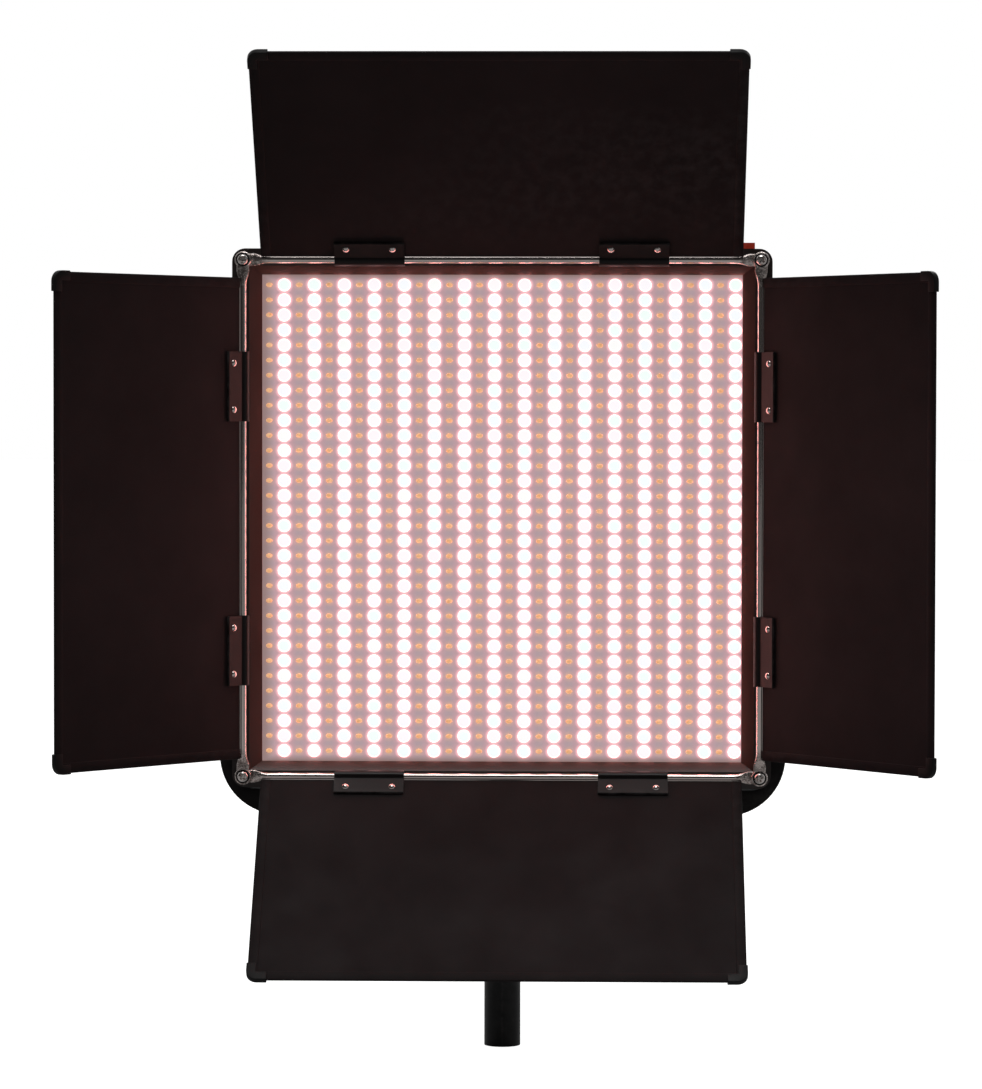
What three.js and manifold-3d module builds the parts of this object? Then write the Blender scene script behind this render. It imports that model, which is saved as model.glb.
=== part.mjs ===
// LED panel light: a square panel with four hinged leaves, held in a U yoke on a tubular stand receiver.
// Millimetres, +X right, +Y to the back, +Z up. The light faces -Y.
// The origin is the centre of the stand socket's mouth.

import * as THREE from 'three';
import { mergeVertices } from 'three/addons/utils/BufferGeometryUtils.js';
import Module from 'manifold-3d';

// shared clearances and facet counts
const GAP = 0.3;
const OVERRUN = 1;
const ROUND = 20;
const SMALL_ROUND = 12;
const RIVET_ROUND = 8;

// panel: every size below is measured from the tilt pivot, which is PIVOT_Z above the origin
const PIVOT_Z = 310;
const BEZEL_SIZE = 310;
const BEZEL_CORNER = 7.5;
const BEZEL_FRONT = -47;
const BEZEL_BACK = -35;
const WINDOW_FRONT = 290.6;
const WINDOW_WIDTH = 276.2;
const WINDOW_HEIGHT = 280.4;
const LIP_FRONT = -40.9;
const LIP_BACK = -40.3;
const BOARD_WIDTH = 281;
const BOARD_HEIGHT = 285;
const BOARD_FRONT = -40;
const BOARD_THICK = 1.6;
const SINK_PLATE = 2;
const SINK_FIN_BACK = -16;
const SINK_FIN_HEIGHT = 240;
const SINK_FIN_PITCH = 30;
const SINK_FIN_COUNT = 8;

// rear shell and the cover over the electronics
const SHELL_SIZE = 306;
const SHELL_CORNER = 6;
const SHELL_BACK = 14;
const SHELL_WALL = 2.5;
const COVER_WIDTH = 210;
const COVER_HEIGHT = 140;
const COVER_CORNER = 12;
const COVER_BACK = 36;
const COVER_BEVEL = 4;
const COVER_PORT = 20;
const VENT_WIDTH = 4;
const VENT_HEIGHT = 70;
const VENT_PITCH = 9;
const VENT_FIRST_X = 116;
const VENT_COUNT = 4;
const DRIVER_BACK = 21.6;
const DRIVER_HALF_WIDTH = 80;
const DRIVER_HALF_HEIGHT = 52;
const DRIVER_PARTS_BACK = 31;
const CAPACITOR_RADIUS = 6;

// controls on the cover
const DISPLAY_WIDTH = 52;
const DISPLAY_HEIGHT = 26;
const DISPLAY_Z = 34;
const DISPLAY_DEPTH = 1.8;
const DIAL_X = 56;
const DIAL_Z = 30;
const DIAL_RADIUS = 8;
const DIAL_SHAFT_RADIUS = 3;
const BUTTON_X = 14;
const BUTTON_Z = 6;
const BUTTON_RADIUS = 4;
const INLET_X = 70;
const INLET_Z = -45;
const INLET_RADIUS = 6;
const INLET_BORE_RADIUS = 4.4;

// power rocker on top, near the right corner
const ROCKER_X = 138.8;
const ROCKER_Y = -12;
const ROCKER_Z = 154;
const ROCKER_WIDTH = 14;
const ROCKER_HALF_LENGTH = 9.5;
const ROCKER_REST = 8;
const SWITCH_WIDTH = 16.4;
const SWITCH_LENGTH = 24;
const SWITCH_TOP = 155.6;
const SWITCH_PORT_WIDTH = 14.8;
const SWITCH_PORT_LENGTH = 21;

// hinge rods on the front, held by one screw at each corner
const ROD_HALF_SPAN = 148.3;
const ROD_RADIUS = 2;
const ROD_ACROSS_Y = -51;
const ROD_UPRIGHT_Y = -53;
const EYE_RADIUS = 4.75;
const EYE_THICK = 1.6;
const EYE_HOLE_RADIUS = 2.15;
const BOSS_RADIUS = 3.8;
const BOSS_FRONT = -49.9;
const SCREW_HEAD_RADIUS = 3.1;
const SCREW_SHANK_RADIUS = 1.9;
const SCREW_END = -42.5;

// leaves, their clips and corner caps, in a frame whose X is the rod and whose Z points away from it
const LEAF_HALF_WIDTH = 138;
const LEAF_START = 3;
const LEAF_END = 147;
const LEAF_CORNER = 6;
const SHEET_HALF = 0.5;
const HEM_HALF = 0.8;
const HEM_WIDTH = 5.7;
const CLIP_LENGTH = 40;
const CLIP_CENTRE = 75.7;
const CLIP_INNER = 2.3;
const CLIP_OUTER = 3.7;
const CLIP_SLOT_HALF = 0.8;
const CLIP_HALF = 2.2;
const CLIP_END = 13.5;
const RIVET_SPACING = 26.6;
const RIVET_Z = 9;
const RIVET_RADIUS = 1.4;
const RIVET_HEAD_RADIUS = 2.05;
const RIVET_HEAD = 0.9;
const CAP_LEG = 11.5;
const CAP_WIDTH = 5.4;
const CAP_PROUD = 0.6;
const CAP_HALF = 1.7;
const CAP_SLOT_HALF = 1.1;
const LEAVES = [
  { side: 'top', rest: 41, turn: 0 },
  { side: 'bottom', rest: 45, turn: 180 },
  { side: 'left', rest: 50, turn: -90 },
  { side: 'right', rest: 52, turn: 90 },
];

// yoke
const YOKE_HALF_WIDTH = 165;
const YOKE_BOTTOM = -174;
const YOKE_THICK = 8.5;
const YOKE_BAR = 15;
const YOKE_INNER_CORNER = 12;
const YOKE_DEPTH = 25;
const YOKE_CORNER = 35;
const PIVOT_HOLE_RADIUS = 4.3;
const STUD_RADIUS = 4;
const STUD_INNER = 143;
const BUSH_FLANGE_RADIUS = 10;
const BUSH_FLANGE_THICK = 1.5;
const BUSH_RADIUS = 6.7;
const BUSH_INNER = 140;
const KNOB_RADIUS = 17;
const KNOB_LOBE = 1.4;
const KNOB_LOBES = 7;
const KNOB_HEIGHT = 15;
const KNOB_BEVEL = 1.2;
const KNOB_NECK = 4;
const KNOB_NECK_RADIUS = 10.2;
const KNOB_ROOF = 2;
const COUNTERBORE_RADIUS = 8.8;
const COUNTERBORE_DEPTH = 4.3;
const BOLT_HEAD = 3.7;
const BOLT_HEAD_RADIUS = 8.3;

// stand receiver, measured from the origin
const TUBE_RADIUS = 10.6;
const TUBE_BORE_RADIUS = 8.1;
const TUBE_TOP = 115.5;
const COLLAR_RADIUS = 17;
const COLLAR_BOTTOM = 88;
const COLLAR_TOP = 133.5;
const COLLAR_BORE_RADIUS = 10.9;
const TSCREW_Z = 100;
const TSCREW_RADIUS = 3;
const TSCREW_COLLAR_RADIUS = 5.5;
const TSCREW_START = 8.8;
const TSCREW_BOSS_RADIUS = 7;
const TSCREW_BOSS_END = 22;
const TSCREW_BAR_Y = 32;
const TSCREW_BAR_RADIUS = 3.5;
const TSCREW_BAR_LENGTH = 38;

const wasm = await Module();
wasm.setup();
const QUARTER = Math.PI / 2;

// solids and booleans

function toSolid(geometry) {
  const bare = geometry.clone();
  bare.deleteAttribute('normal');
  bare.deleteAttribute('uv');
  const welded = mergeVertices(bare, 1e-4);
  return new wasm.Manifold(new wasm.Mesh({
    numProp: 3,
    vertProperties: new Float32Array(welded.attributes.position.array),
    triVerts: new Uint32Array(welded.index.array),
  }));
}

function toGeometry(solid) {
  const mesh = solid.getMesh();
  const geometry = new THREE.BufferGeometry();
  geometry.setAttribute('position', new THREE.BufferAttribute(mesh.vertProperties, 3));
  geometry.setIndex(new THREE.BufferAttribute(mesh.triVerts, 1));
  const flat = geometry.toNonIndexed();
  flat.computeVertexNormals();
  return flat;
}

function join(...parts) {
  return toGeometry(parts.map(toSolid).reduce((whole, part) => whole.add(part)));
}

function cut(base, ...tools) {
  return toGeometry(tools.map(toSolid).reduce((whole, tool) => whole.subtract(tool), toSolid(base)));
}

function keep(base, tool) {
  return toGeometry(toSolid(base).intersect(toSolid(tool)));
}

// basic shapes

function block(x, y, z) {
  const size = [x[1] - x[0], y[1] - y[0], z[1] - z[0]];
  return new THREE.BoxGeometry(...size)
    .translate((x[0] + x[1]) / 2, (y[0] + y[1]) / 2, (z[0] + z[1]) / 2);
}

function roundX(radius, x0, x1, y = 0, z = 0, facets = ROUND) {
  return new THREE.CylinderGeometry(radius, radius, x1 - x0, facets)
    .rotateZ(QUARTER)
    .translate((x0 + x1) / 2, y, z);
}

function roundY(radius, y0, y1, x = 0, z = 0, facets = ROUND) {
  return new THREE.CylinderGeometry(radius, radius, y1 - y0, facets)
    .translate(x, (y0 + y1) / 2, z);
}

function roundZ(radius, z0, z1, x = 0, y = 0, facets = ROUND) {
  return new THREE.CylinderGeometry(radius, radius, z1 - z0, facets)
    .rotateX(QUARTER)
    .translate(x, y, (z0 + z1) / 2);
}

function latheY(points, facets = ROUND) {
  return new THREE.LatheGeometry(points.map(([r, y]) => new THREE.Vector2(r, y)), facets);
}

function latheZ(points, facets = ROUND) {
  return latheY(points, facets).rotateX(QUARTER);
}

function roundedRectangle(width, height, radius) {
  const x = width / 2 - radius;
  const z = height / 2 - radius;
  const outline = new THREE.Shape();
  outline.absarc(x, z, radius, 0, QUARTER);
  outline.absarc(-x, z, radius, QUARTER, 2 * QUARTER);
  outline.absarc(-x, -z, radius, 2 * QUARTER, 3 * QUARTER);
  outline.absarc(x, -z, radius, 3 * QUARTER, 4 * QUARTER);
  return outline;
}

// an outline in the X-Z plane, thickened along Y from y0 to y1
function slab(outline, y0, y1, curveSegments = 4) {
  return new THREE.ExtrudeGeometry(outline, { depth: y1 - y0, bevelEnabled: false, curveSegments })
    .rotateX(QUARTER)
    .translate(0, y1, 0);
}

// front panel

// a straight-sided opening that changes size evenly between two depths
function taperedOpening(front, back) {
  const geometry = new THREE.BoxGeometry(1, 1, 1);
  const position = geometry.attributes.position;
  for (let i = 0; i < position.count; i++) {
    const end = position.getY(i) < 0 ? front : back;
    position.setXYZ(i, position.getX(i) * end.width, end.y, position.getZ(i) * end.height);
  }
  return geometry;
}

function cornerPoints() {
  const points = [];
  for (const x of [-ROD_HALF_SPAN, ROD_HALF_SPAN]) {
    for (const z of [-ROD_HALF_SPAN, ROD_HALF_SPAN]) {
      points.push([x, z]);
    }
  }
  return points;
}

function frontBezel() {
  const slope = LIP_FRONT - BEZEL_FRONT;
  const beyond = (slope + OVERRUN) / slope;
  const front = {
    y: BEZEL_FRONT - OVERRUN,
    width: WINDOW_WIDTH + (WINDOW_FRONT - WINDOW_WIDTH) * beyond,
    height: WINDOW_HEIGHT + (WINDOW_FRONT - WINDOW_HEIGHT) * beyond,
  };
  const back = { y: LIP_FRONT, width: WINDOW_WIDTH, height: WINDOW_HEIGHT };
  const bosses = cornerPoints()
    .map(([x, z]) => roundY(BOSS_RADIUS, BOSS_FRONT, BEZEL_FRONT + OVERRUN, x, z, SMALL_ROUND));
  const holes = cornerPoints()
    .map(([x, z]) => roundY(EYE_HOLE_RADIUS, BOSS_FRONT - OVERRUN, SCREW_END + OVERRUN, x, z, SMALL_ROUND));
  const halfW = WINDOW_WIDTH / 2;
  const halfH = WINDOW_HEIGHT / 2;
  const restW = BOARD_WIDTH / 2 + GAP;
  const restH = BOARD_HEIGHT / 2 + GAP;
  return cut(
    join(slab(roundedRectangle(BEZEL_SIZE, BEZEL_SIZE, BEZEL_CORNER), BEZEL_FRONT, BEZEL_BACK), ...bosses),
    taperedOpening(front, back),
    block([-halfW, halfW], [LIP_FRONT - GAP, LIP_BACK + GAP], [-halfH, halfH]),
    block([-restW, restW], [LIP_BACK, BEZEL_BACK + OVERRUN], [-restH, restH]),
    ...holes,
  );
}

function ledBoard() {
  const halfW = BOARD_WIDTH / 2;
  const halfH = BOARD_HEIGHT / 2;
  return block([-halfW, halfW], [BOARD_FRONT, BOARD_FRONT + BOARD_THICK], [-halfH, halfH]);
}

function heatSink() {
  const front = BOARD_FRONT + BOARD_THICK + GAP;
  const halfW = BOARD_WIDTH / 2 - 4;
  const halfH = BOARD_HEIGHT / 2 - 4;
  const fins = [];
  for (let i = 0; i < SINK_FIN_COUNT; i++) {
    const x = (i - (SINK_FIN_COUNT - 1) / 2) * SINK_FIN_PITCH;
    const reach = SINK_FIN_HEIGHT / 2;
    fins.push(block([x - 1, x + 1], [front + SINK_PLATE / 2, SINK_FIN_BACK], [-reach, reach]));
  }
  return join(block([-halfW, halfW], [front, front + SINK_PLATE], [-halfH, halfH]), ...fins);
}

// rear shell, cover and what they hold

function rearShell() {
  const inner = SHELL_SIZE - 2 * SHELL_WALL;
  const front = BEZEL_BACK + GAP;
  const insideOutline = roundedRectangle(inner, inner, SHELL_CORNER - SHELL_WALL / 2);
  const tools = [slab(insideOutline, front - OVERRUN, SHELL_BACK - SHELL_WALL)];
  const portW = COVER_WIDTH / 2 - COVER_PORT / 2;
  const portH = COVER_HEIGHT / 2 - COVER_PORT / 2;
  tools.push(block([-portW, portW], [0, SHELL_BACK + OVERRUN], [-portH, portH]));
  for (const side of [-1, 1]) {
    for (let i = 0; i < VENT_COUNT; i++) {
      const x = side * (VENT_FIRST_X + i * VENT_PITCH);
      const reach = VENT_HEIGHT / 2;
      const width = [x - VENT_WIDTH / 2, x + VENT_WIDTH / 2];
      tools.push(block(width, [0, SHELL_BACK + OVERRUN], [-reach, reach]));
    }
  }
  const bushHole = BUSH_RADIUS + GAP;
  tools.push(roundX(bushHole, -SHELL_SIZE / 2 - OVERRUN, -SHELL_SIZE / 2 + 2 * SHELL_WALL));
  tools.push(roundX(bushHole, SHELL_SIZE / 2 - 2 * SHELL_WALL, SHELL_SIZE / 2 + OVERRUN));
  const holeW = SWITCH_WIDTH / 2 - OVERRUN + GAP;
  const holeL = SWITCH_LENGTH / 2 - OVERRUN + GAP;
  tools.push(block(
    [ROCKER_X - holeW, ROCKER_X + holeW],
    [ROCKER_Y - holeL, ROCKER_Y + holeL],
    [SHELL_SIZE / 2 - 2 * SHELL_WALL, SHELL_SIZE / 2 + OVERRUN],
  ));
  return cut(slab(roundedRectangle(SHELL_SIZE, SHELL_SIZE, SHELL_CORNER), front, SHELL_BACK), ...tools);
}

// a block whose edges towards both ends are bevelled
function softBlock(width, height, corner, y0, y1, bevel) {
  const options = {
    depth: y1 - y0 - 2 * bevel,
    bevelThickness: bevel,
    bevelSize: bevel,
    bevelSegments: 1,
    curveSegments: 4,
  };
  const outline = roundedRectangle(width - 2 * bevel, height - 2 * bevel, corner - bevel);
  return new THREE.ExtrudeGeometry(outline, options)
    .rotateX(QUARTER)
    .translate(0, y1 - bevel, 0);
}

function rearCover() {
  const front = SHELL_BACK + GAP;
  const inside = 2 * SHELL_WALL;
  const deep = COVER_BACK + OVERRUN;
  const body = softBlock(COVER_WIDTH, COVER_HEIGHT, COVER_CORNER, 0, COVER_BACK, COVER_BEVEL);
  const hollow = softBlock(
    COVER_WIDTH - inside,
    COVER_HEIGHT - inside,
    COVER_CORNER,
    -inside,
    COVER_BACK - SHELL_WALL,
    COVER_BEVEL,
  );
  const pocketW = DISPLAY_WIDTH / 2;
  const pocketH = DISPLAY_HEIGHT / 2;
  const wallIn = COVER_BACK - 2 * SHELL_WALL;
  return cut(
    body,
    hollow,
    block([-COVER_WIDTH, COVER_WIDTH], [-COVER_BACK, front], [-COVER_HEIGHT, COVER_HEIGHT]),
    block(
      [-pocketW, pocketW],
      [COVER_BACK - DISPLAY_DEPTH, deep],
      [DISPLAY_Z - pocketH, DISPLAY_Z + pocketH],
    ),
    roundY(DIAL_SHAFT_RADIUS + GAP, wallIn, deep, -DIAL_X, DIAL_Z),
    roundY(DIAL_SHAFT_RADIUS + GAP, wallIn, deep, DIAL_X, DIAL_Z),
    roundY(BUTTON_RADIUS + GAP, wallIn, deep, -BUTTON_X, BUTTON_Z),
    roundY(BUTTON_RADIUS + GAP, wallIn, deep, BUTTON_X, BUTTON_Z),
    roundY(INLET_RADIUS + GAP, wallIn, deep, INLET_X, INLET_Z),
  );
}

function driverBoard() {
  return join(
    block(
      [-DRIVER_HALF_WIDTH, DRIVER_HALF_WIDTH],
      [DRIVER_BACK - BOARD_THICK, DRIVER_BACK],
      [-DRIVER_HALF_HEIGHT, DRIVER_HALF_HEIGHT],
    ),
    block([-66, -36], [DRIVER_BACK - OVERRUN, DRIVER_PARTS_BACK], [-44, -18]),
    block([-20, 10], [DRIVER_BACK - OVERRUN, DRIVER_PARTS_BACK - 1], [-42, -24]),
    roundY(CAPACITOR_RADIUS, DRIVER_BACK - OVERRUN, DRIVER_PARTS_BACK + 1, 30, -34, SMALL_ROUND),
  );
}

function displayWindow() {
  const halfW = DISPLAY_WIDTH / 2 - GAP;
  const halfH = DISPLAY_HEIGHT / 2 - GAP;
  return block(
    [-halfW, halfW],
    [COVER_BACK - DISPLAY_DEPTH + GAP, COVER_BACK + GAP],
    [DISPLAY_Z - halfH, DISPLAY_Z + halfH],
  );
}

function dial() {
  const face = COVER_BACK + 2 * GAP;
  return latheY([
    [0, face - 8],
    [DIAL_SHAFT_RADIUS, face - 8],
    [DIAL_SHAFT_RADIUS, face],
    [DIAL_RADIUS, face],
    [DIAL_RADIUS, face + 9.6],
    [DIAL_RADIUS - 0.8, face + 10.4],
    [0, face + 10.4],
  ]);
}

function pushButton() {
  const inside = COVER_BACK - SHELL_WALL - GAP;
  return latheY([
    [0, inside - 2.7],
    [BUTTON_RADIUS + 1.2, inside - 2.7],
    [BUTTON_RADIUS + 1.2, inside],
    [BUTTON_RADIUS, inside],
    [BUTTON_RADIUS, COVER_BACK + 1.2],
    [BUTTON_RADIUS - 0.5, COVER_BACK + 1.6],
    [0, COVER_BACK + 1.6],
  ], SMALL_ROUND);
}

function powerInlet() {
  const face = COVER_BACK + GAP;
  return latheY([
    [0, face - 11],
    [INLET_RADIUS, face - 11],
    [INLET_RADIUS, face],
    [INLET_RADIUS + 2.5, face],
    [INLET_RADIUS + 2.5, face + 1.5],
    [INLET_BORE_RADIUS, face + 1.5],
    [INLET_BORE_RADIUS, face - 9],
    [0, face - 9],
  ]).translate(INLET_X, 0, INLET_Z);
}

function switchFrame() {
  const wide = SWITCH_WIDTH / 2;
  const long = SWITCH_LENGTH / 2;
  const neckW = wide - OVERRUN;
  const neckL = long - OVERRUN;
  const portW = SWITCH_PORT_WIDTH / 2;
  const portL = SWITCH_PORT_LENGTH / 2;
  const top = SHELL_SIZE / 2;
  return cut(
    join(
      block([-wide, wide], [-long, long], [top + GAP, SWITCH_TOP]),
      block([-neckW, neckW], [-neckL, neckL], [top - 2 * SHELL_WALL, SWITCH_TOP - OVERRUN]),
    ),
    block([-portW, portW], [-portL, portL], [top - 4 * SHELL_WALL, SWITCH_TOP + OVERRUN]),
  ).translate(ROCKER_X, ROCKER_Y, 0);
}

// the rocker about its own axis, level
function rocker() {
  const end = ROCKER_HALF_LENGTH;
  const outline = new THREE.Shape();
  outline.moveTo(-end, 4.2);
  outline.lineTo(-end + 1, -3.5);
  outline.lineTo(end - 1, -3.5);
  outline.lineTo(end, 4.2);
  outline.quadraticCurveTo(0, 2.6, -end, 4.2);
  return new THREE.ExtrudeGeometry(outline, { depth: ROCKER_WIDTH, bevelEnabled: false, curveSegments: 8 })
    .rotateX(QUARTER)
    .rotateZ(QUARTER)
    .translate(-ROCKER_WIDTH / 2, 0, 0);
}

// hinge rods and corner screws

// a rod along X whose ends flatten towards its eyes
function hingeRod() {
  const half = [
    [0, 3.6, 0.8],
    [6.5, 3.6, 0.8],
    [10, 2.7, 1.5],
    [14, ROD_RADIUS, ROD_RADIUS],
  ];
  const stations = [
    ...half.map(([s, wide, thick]) => [s - ROD_HALF_SPAN, wide, thick]),
    ...half.map(([s, wide, thick]) => [ROD_HALF_SPAN - s, wide, thick]).reverse(),
  ];
  const positions = [];
  for (const [x, wide, thick] of stations) {
    for (let k = 0; k < SMALL_ROUND; k++) {
      const angle = 2 * Math.PI * k / SMALL_ROUND;
      positions.push(x, thick * Math.cos(angle), wide * Math.sin(angle));
    }
  }
  const firstCentre = positions.length / 3;
  positions.push(stations[0][0], 0, 0, stations.at(-1)[0], 0, 0);
  const faces = [];
  const last = (stations.length - 1) * SMALL_ROUND;
  for (let k = 0; k < SMALL_ROUND; k++) {
    const next = (k + 1) % SMALL_ROUND;
    for (let i = 0; i < stations.length - 1; i++) {
      const a = i * SMALL_ROUND + k;
      const b = i * SMALL_ROUND + next;
      faces.push(a, b, b + SMALL_ROUND, a, b + SMALL_ROUND, a + SMALL_ROUND);
    }
    faces.push(firstCentre, next, k, firstCentre + 1, last + k, last + next);
  }
  const loft = new THREE.BufferGeometry();
  loft.setAttribute('position', new THREE.Float32BufferAttribute(positions, 3));
  loft.setIndex(faces);
  const reach = EYE_THICK / 2;
  return cut(
    join(
      loft,
      roundY(EYE_RADIUS, -reach, reach, -ROD_HALF_SPAN),
      roundY(EYE_RADIUS, -reach, reach, ROD_HALF_SPAN),
    ),
    roundY(EYE_HOLE_RADIUS, -EYE_THICK, EYE_THICK, -ROD_HALF_SPAN, 0, SMALL_ROUND),
    roundY(EYE_HOLE_RADIUS, -EYE_THICK, EYE_THICK, ROD_HALF_SPAN, 0, SMALL_ROUND),
  );
}

function cornerScrew() {
  const seat = ROD_UPRIGHT_Y - EYE_THICK / 2 - GAP;
  const body = latheY([
    [0, seat - 2.2],
    [1.6, seat - 2.1],
    [2.7, seat - 1.5],
    [SCREW_HEAD_RADIUS, seat - 0.8],
    [SCREW_HEAD_RADIUS, seat],
    [SCREW_SHANK_RADIUS, seat],
    [SCREW_SHANK_RADIUS, SCREW_END],
    [0, SCREW_END],
  ], SMALL_ROUND);
  const depth = [seat - 3, seat - 1];
  return cut(
    body,
    block([-1.7, 1.7], depth, [-0.4, 0.4]),
    block([-0.4, 0.4], depth, [-1.7, 1.7]),
  );
}

// leaves

// a leaf's outline, square at the rod and rounded at its free corners, grown by a margin
function leafOutline(margin, corner) {
  const x = LEAF_HALF_WIDTH + margin;
  const end = LEAF_END + margin;
  const outline = new THREE.Shape();
  outline.moveTo(-x, LEAF_START - margin);
  outline.lineTo(x, LEAF_START - margin);
  outline.absarc(x - corner, end - corner, corner, 0, QUARTER);
  outline.absarc(-x + corner, end - corner, corner, QUARTER, 2 * QUARTER);
  return outline;
}

function rivetPlaces() {
  const places = [];
  for (const clip of [-1, 1]) {
    for (const rivet of [-1, 1]) {
      places.push(clip * CLIP_CENTRE + rivet * RIVET_SPACING / 2);
    }
  }
  return places;
}

function leafSheet() {
  const innerX = LEAF_HALF_WIDTH - HEM_WIDTH;
  const innerZ = [LEAF_START - OVERRUN, LEAF_END - HEM_WIDTH];
  const holeRadius = RIVET_RADIUS + GAP;
  const holes = rivetPlaces().map((x) => roundY(holeRadius, -OVERRUN, OVERRUN, x, RIVET_Z, RIVET_ROUND));
  return cut(
    slab(leafOutline(0, LEAF_CORNER), -HEM_HALF, HEM_HALF),
    block([-innerX, innerX], [-2 * HEM_HALF, -SHEET_HALF], innerZ),
    block([-innerX, innerX], [SHEET_HALF, 2 * HEM_HALF], innerZ),
    ...holes,
  );
}

// a strip bent round the rod, its two legs closed on the sheet by two rivets
function hingeClip() {
  const outerAngle = Math.asin(CLIP_HALF / CLIP_OUTER);
  const innerAngle = Math.asin(CLIP_SLOT_HALF / CLIP_INNER);
  const outline = new THREE.Shape();
  outline.moveTo(CLIP_END, -CLIP_HALF);
  outline.lineTo(CLIP_END, -CLIP_SLOT_HALF);
  outline.absarc(0, 0, CLIP_INNER, -innerAngle, innerAngle, true);
  outline.lineTo(CLIP_END, CLIP_SLOT_HALF);
  outline.lineTo(CLIP_END, CLIP_HALF);
  outline.absarc(0, 0, CLIP_OUTER, outerAngle, -outerAngle, false);
  const options = { depth: CLIP_LENGTH, bevelEnabled: false, curveSegments: 8 };
  const strip = new THREE.ExtrudeGeometry(outline, options)
    .rotateY(-QUARTER)
    .translate(CLIP_LENGTH / 2, 0, 0);
  const front = -CLIP_HALF - RIVET_HEAD;
  const rivets = [-1, 1].map((side) => latheY([
    [0, front],
    [RIVET_HEAD_RADIUS * 0.6, front + RIVET_HEAD * 0.25],
    [RIVET_HEAD_RADIUS, -CLIP_HALF],
    [RIVET_HEAD_RADIUS, -CLIP_HALF + GAP],
    [RIVET_RADIUS, -CLIP_HALF + GAP],
    [RIVET_RADIUS, CLIP_HALF - GAP],
    [RIVET_HEAD_RADIUS, CLIP_HALF - GAP],
    [RIVET_HEAD_RADIUS, CLIP_HALF + GAP],
    [0, CLIP_HALF + GAP],
  ], RIVET_ROUND).translate(side * RIVET_SPACING / 2, 0, RIVET_Z));
  return join(strip, ...rivets);
}

// the cap on the free corner at +X (end 1) or -X (end -1)
function cornerCap(end) {
  const outer = slab(leafOutline(CAP_PROUD, LEAF_CORNER), -CAP_HALF, CAP_HALF);
  const x = LEAF_HALF_WIDTH + CAP_PROUD;
  const z = LEAF_END + CAP_PROUD;
  const through = [-2 * CAP_HALF, 2 * CAP_HALF];
  const span = (low, high) => [end * low, end * high].sort((a, b) => a - b);
  const corner = block(span(x - CAP_LEG, x + OVERRUN), through, [z - CAP_LEG, z + OVERRUN]);
  const inside = block(
    span(x - CAP_LEG - OVERRUN, x - CAP_WIDTH),
    through,
    [z - CAP_LEG - OVERRUN, z - CAP_WIDTH],
  );
  const slot = slab(leafOutline(GAP / 2, LEAF_CORNER), -CAP_SLOT_HALF, CAP_SLOT_HALF);
  return cut(keep(outer, corner), inside, slot);
}

// yoke and tilt hardware

function yoke() {
  const outer = YOKE_HALF_WIDTH;
  const inner = outer - YOKE_THICK;
  const centreX = outer - YOKE_CORNER;
  const centreZ = YOKE_BOTTOM + YOKE_CORNER;
  const barTop = YOKE_BOTTOM + YOKE_BAR;
  const innerX = inner - YOKE_INNER_CORNER;
  const innerZ = barTop + YOKE_INNER_CORNER;
  const top = YOKE_DEPTH;
  const outline = new THREE.Shape();
  outline.moveTo(-outer, top);
  outline.absarc(-centreX, centreZ, YOKE_CORNER, 2 * QUARTER, 3 * QUARTER);
  outline.absarc(centreX, centreZ, YOKE_CORNER, 3 * QUARTER, 4 * QUARTER);
  outline.lineTo(outer, top);
  outline.lineTo(inner, top);
  outline.absarc(innerX, innerZ, YOKE_INNER_CORNER, 4 * QUARTER, 3 * QUARTER, true);
  outline.absarc(-innerX, innerZ, YOKE_INNER_CORNER, 3 * QUARTER, 2 * QUARTER, true);
  outline.lineTo(-inner, top);
  const reach = YOKE_DEPTH / 2;
  const bar = slab(outline, -reach, reach, 8);
  const roundedTops = join(
    block([-outer - OVERRUN, outer + OVERRUN], [-reach, reach], [YOKE_BOTTOM - OVERRUN, 0]),
    roundX(reach, -outer - OVERRUN, outer + OVERRUN),
  );
  return cut(
    keep(bar, roundedTops),
    roundX(PIVOT_HOLE_RADIUS, -outer - OVERRUN, outer + OVERRUN),
    roundZ(PIVOT_HOLE_RADIUS, YOKE_BOTTOM - OVERRUN, barTop + OVERRUN),
    roundZ(COUNTERBORE_RADIUS, barTop - COUNTERBORE_DEPTH, barTop + OVERRUN),
  );
}

// the pieces on the tilt axis are made for the +X side

function pivotBush() {
  const seat = SHELL_SIZE / 2 + GAP;
  return cut(
    join(
      roundX(BUSH_FLANGE_RADIUS, seat, seat + BUSH_FLANGE_THICK),
      roundX(BUSH_RADIUS, BUSH_INNER, seat + BUSH_FLANGE_THICK / 2),
    ),
    roundX(PIVOT_HOLE_RADIUS, BUSH_INNER - OVERRUN, seat + BUSH_FLANGE_THICK + OVERRUN),
  );
}

function pivotWasher() {
  const inside = SHELL_SIZE / 2 + BUSH_FLANGE_THICK + 2 * GAP;
  const outside = YOKE_HALF_WIDTH - YOKE_THICK - GAP;
  return cut(
    roundX(BUSH_FLANGE_RADIUS, inside, outside),
    roundX(PIVOT_HOLE_RADIUS, inside - OVERRUN, outside + OVERRUN),
  );
}

function tiltStud() {
  return roundX(STUD_RADIUS, STUD_INNER, YOKE_HALF_WIDTH + KNOB_HEIGHT - KNOB_ROOF);
}

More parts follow.
